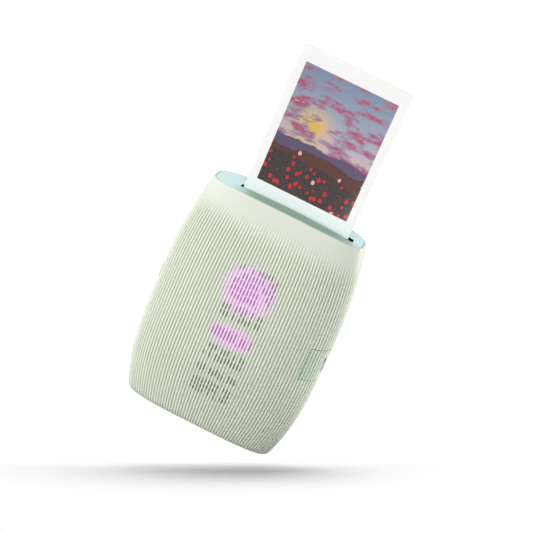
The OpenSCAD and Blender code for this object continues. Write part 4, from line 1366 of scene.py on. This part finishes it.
@dataclass
class Studio:
    """Camera, lamps, white surroundings and the small floor that takes the shadow."""

    camera_at: tuple[float, float, float] = (84.577, -789.639, 485.418)
    look: tuple[float, float, float] = (-0.09438, 0.89066, -0.44477)
    up: tuple[float, float, float] = (-0.44292, 0.36255, 0.81999)
    focal_px: float = 1883.86
    frame_px: float = 533.0
    shift_px: float = 0.5
    aim_z: float = 70.0
    floor_drop: float = 22.5
    floor_r: float = 150.0
    fade_from: float = -16.0
    fade_to: float = 42.0
    rim_from: float = 45.0
    rim_to: float = 140.0
    floor_lit: float = 0.27
    floor_seen: float = 0.385
    world: float = 0.45
    lamps: tuple[Lamp, ...] = (
        Lamp("brow_lamp", (0.0, -0.5, 0.866), 1.2, 0.5, 0.1),
        Lamp("front_lamp", (0.1, -0.9, 0.42), 1.3, 0.7, 0.26),
        Lamp("left_front_lamp", (-0.63, -0.78, 0.06), 1.2, 0.6, 0.28),
        Lamp("left_lamp", (-0.93, -0.34, 0.1), 1.2, 0.6, 0.27),
        Lamp("right_lamp", (0.9, 0.4, 0.1), 1.2, 0.5, 0.68),
        Lamp("back_lamp", (-0.18, 0.95, -0.27), 1.3, 0.8, 0.2),
        Lamp("overhead_lamp", (-0.44, 0.36, 0.82), 1.2, 0.6, 0.45),
    )
    shadow_lamp: Lamp = Lamp("floor_lamp", (-0.309, 0.404, 0.874), 1.2, 1.5, 2.0)

    def set_camera(self) -> None:
        """The camera at the photograph's place, rolled as it is there."""
        data = bpy.data.cameras.new("photo_camera")
        data.sensor_width = 36.0
        data.lens = self.focal_px / self.frame_px * data.sensor_width
        data.shift_x, data.shift_y = (s * self.shift_px / self.frame_px for s in (-1, 1))
        data.clip_start, data.clip_end = 0.05, 20
        camera = bpy.data.objects.new("photo_camera", data)
        bpy.context.scene.collection.objects.link(camera)
        back = -Vector(self.look).normalized()
        right = Vector(self.up).cross(back).normalized()
        top = back.cross(right)
        turn = Matrix((right, top, back)).transposed().to_4x4()
        camera.matrix_world = Matrix.Translation(Vector(self.camera_at) * MM) @ turn
        bpy.context.scene.camera = camera

    def add_lamp(self, lamp: Lamp) -> bpy.types.Object:
        """Adds a lamp that looks at the middle of the case."""
        data = bpy.data.lights.new(lamp.name, "AREA")
        data.shape, data.size = "DISK", lamp.size
        data.energy = lamp.strength * (math.pi * lamp.far) ** 2
        made = bpy.data.objects.new(lamp.name, data)
        bpy.context.scene.collection.objects.link(made)
        away = Vector(lamp.toward).normalized()
        at = Vector((0, 0, self.aim_z)) * MM + away * lamp.far
        turn = away.to_track_quat("Z", "Y").to_matrix().to_4x4()
        made.matrix_world = Matrix.Translation(at) @ turn
        return made

    def set_world(self) -> None:
        """Surroundings that light softly, and that the camera and gloss see as white."""
        world = bpy.data.worlds.new("studio_white")
        bpy.context.scene.world = world
        world.use_nodes = True
        nodes, links = world.node_tree.nodes, world.node_tree.links
        nodes.clear()
        mixer, out = nodes.new("ShaderNodeMixShader"), nodes.new("ShaderNodeOutputWorld")
        links.new(seen_plainly(world.node_tree), mixer.inputs[0])
        for socket, strength in zip(list(mixer.inputs)[1:], (self.world, 1.0)):
            white = nodes.new("ShaderNodeBackground")
            white.inputs[0].default_value, white.inputs[1].default_value = (1, 1, 1, 1), strength
            links.new(white.outputs[0], socket)
        links.new(mixer.outputs[0], out.inputs[0])

    def floor_material(self) -> bpy.types.Material:
        """A floor that its lamp makes white, grey in the shadow and clear from underneath."""
        s = Sketch("studio_floor")
        seen = seen_plainly(s.tree)
        s.put("Base Color", s.mix(seen, (*[self.floor_lit] * 3, 1), (*[self.floor_seen] * 3, 1)))
        s.put("Roughness", 1.0)
        s.put("Specular IOR Level", 0.0)
        near = s.node("ShaderNodeVectorMath", {0: s.place(), 1: tuple(-v for v in self.look)},
                      operation="DOT_PRODUCT").outputs["Value"]
        apart = s.node("ShaderNodeVectorMath", {0: s.place()}, operation="LENGTH").outputs["Value"]
        far = s.times(seen, s.most(s.step(near, self.fade_from * MM, self.fade_to * MM, 1.0, 0.0),
                                   s.step(apart, self.rim_from * MM, self.rim_to * MM)))
        white = s.node("ShaderNodeEmission", {0: (1, 1, 1, 1), 1: 1.0})
        soft = s.node("ShaderNodeMixShader", {0: far, 1: s.shader.outputs[0],
                                              2: white.outputs[0]})
        under = s.node("ShaderNodeNewGeometry").outputs["Backfacing"]
        clear = s.node("ShaderNodeBsdfTransparent")
        pick = s.node("ShaderNodeMixShader", {0: under, 1: soft.outputs[0], 2: clear.outputs[0]})
        s.tree.links.new(pick.outputs[0], s.out.inputs[0])
        return s.mat

    def set_floor(self) -> None:
        """A small round floor under the floating case, level in the picture, with its own lamp."""
        up = Vector(self.up).normalized()
        floor = new_piece("studio_floor", bpy.ops.mesh.primitive_circle_add, vertices=96,
                          radius=self.floor_r * MM, fill_type="NGON",
                          location=up * (-self.floor_drop * MM),
                          rotation=up.to_track_quat("Z", "Y").to_euler())
        settle(floor)
        floor.data.materials.append(self.floor_material())
        lit = bpy.data.collections.new("floor_only")
        lit.objects.link(floor)
        self.add_lamp(self.shadow_lamp).light_linking.receiver_collection = lit

    def build(self) -> None:
        """Sets up the whole studio."""
        bpy.context.scene.view_settings.view_transform = "Standard"
        self.set_camera()
        for lamp in self.lamps:
            self.add_lamp(lamp)
        self.set_world()
        self.set_floor()


def main() -> None:
    """Builds every sub-assembly in order and dresses the rest."""
    logging.basicConfig(level=logging.INFO, format="%(name)s: %(message)s")
    Studio().build()
    finishes = Finishes()
    case = Case(finishes)
    for make in (case.build_front, case.build_rear, case.build_door, case.build_grip):
        make()
    InstantPrint(finishes).build()
    Works(finishes).dress_nodes()


if __name__ == "__main__":
    main()
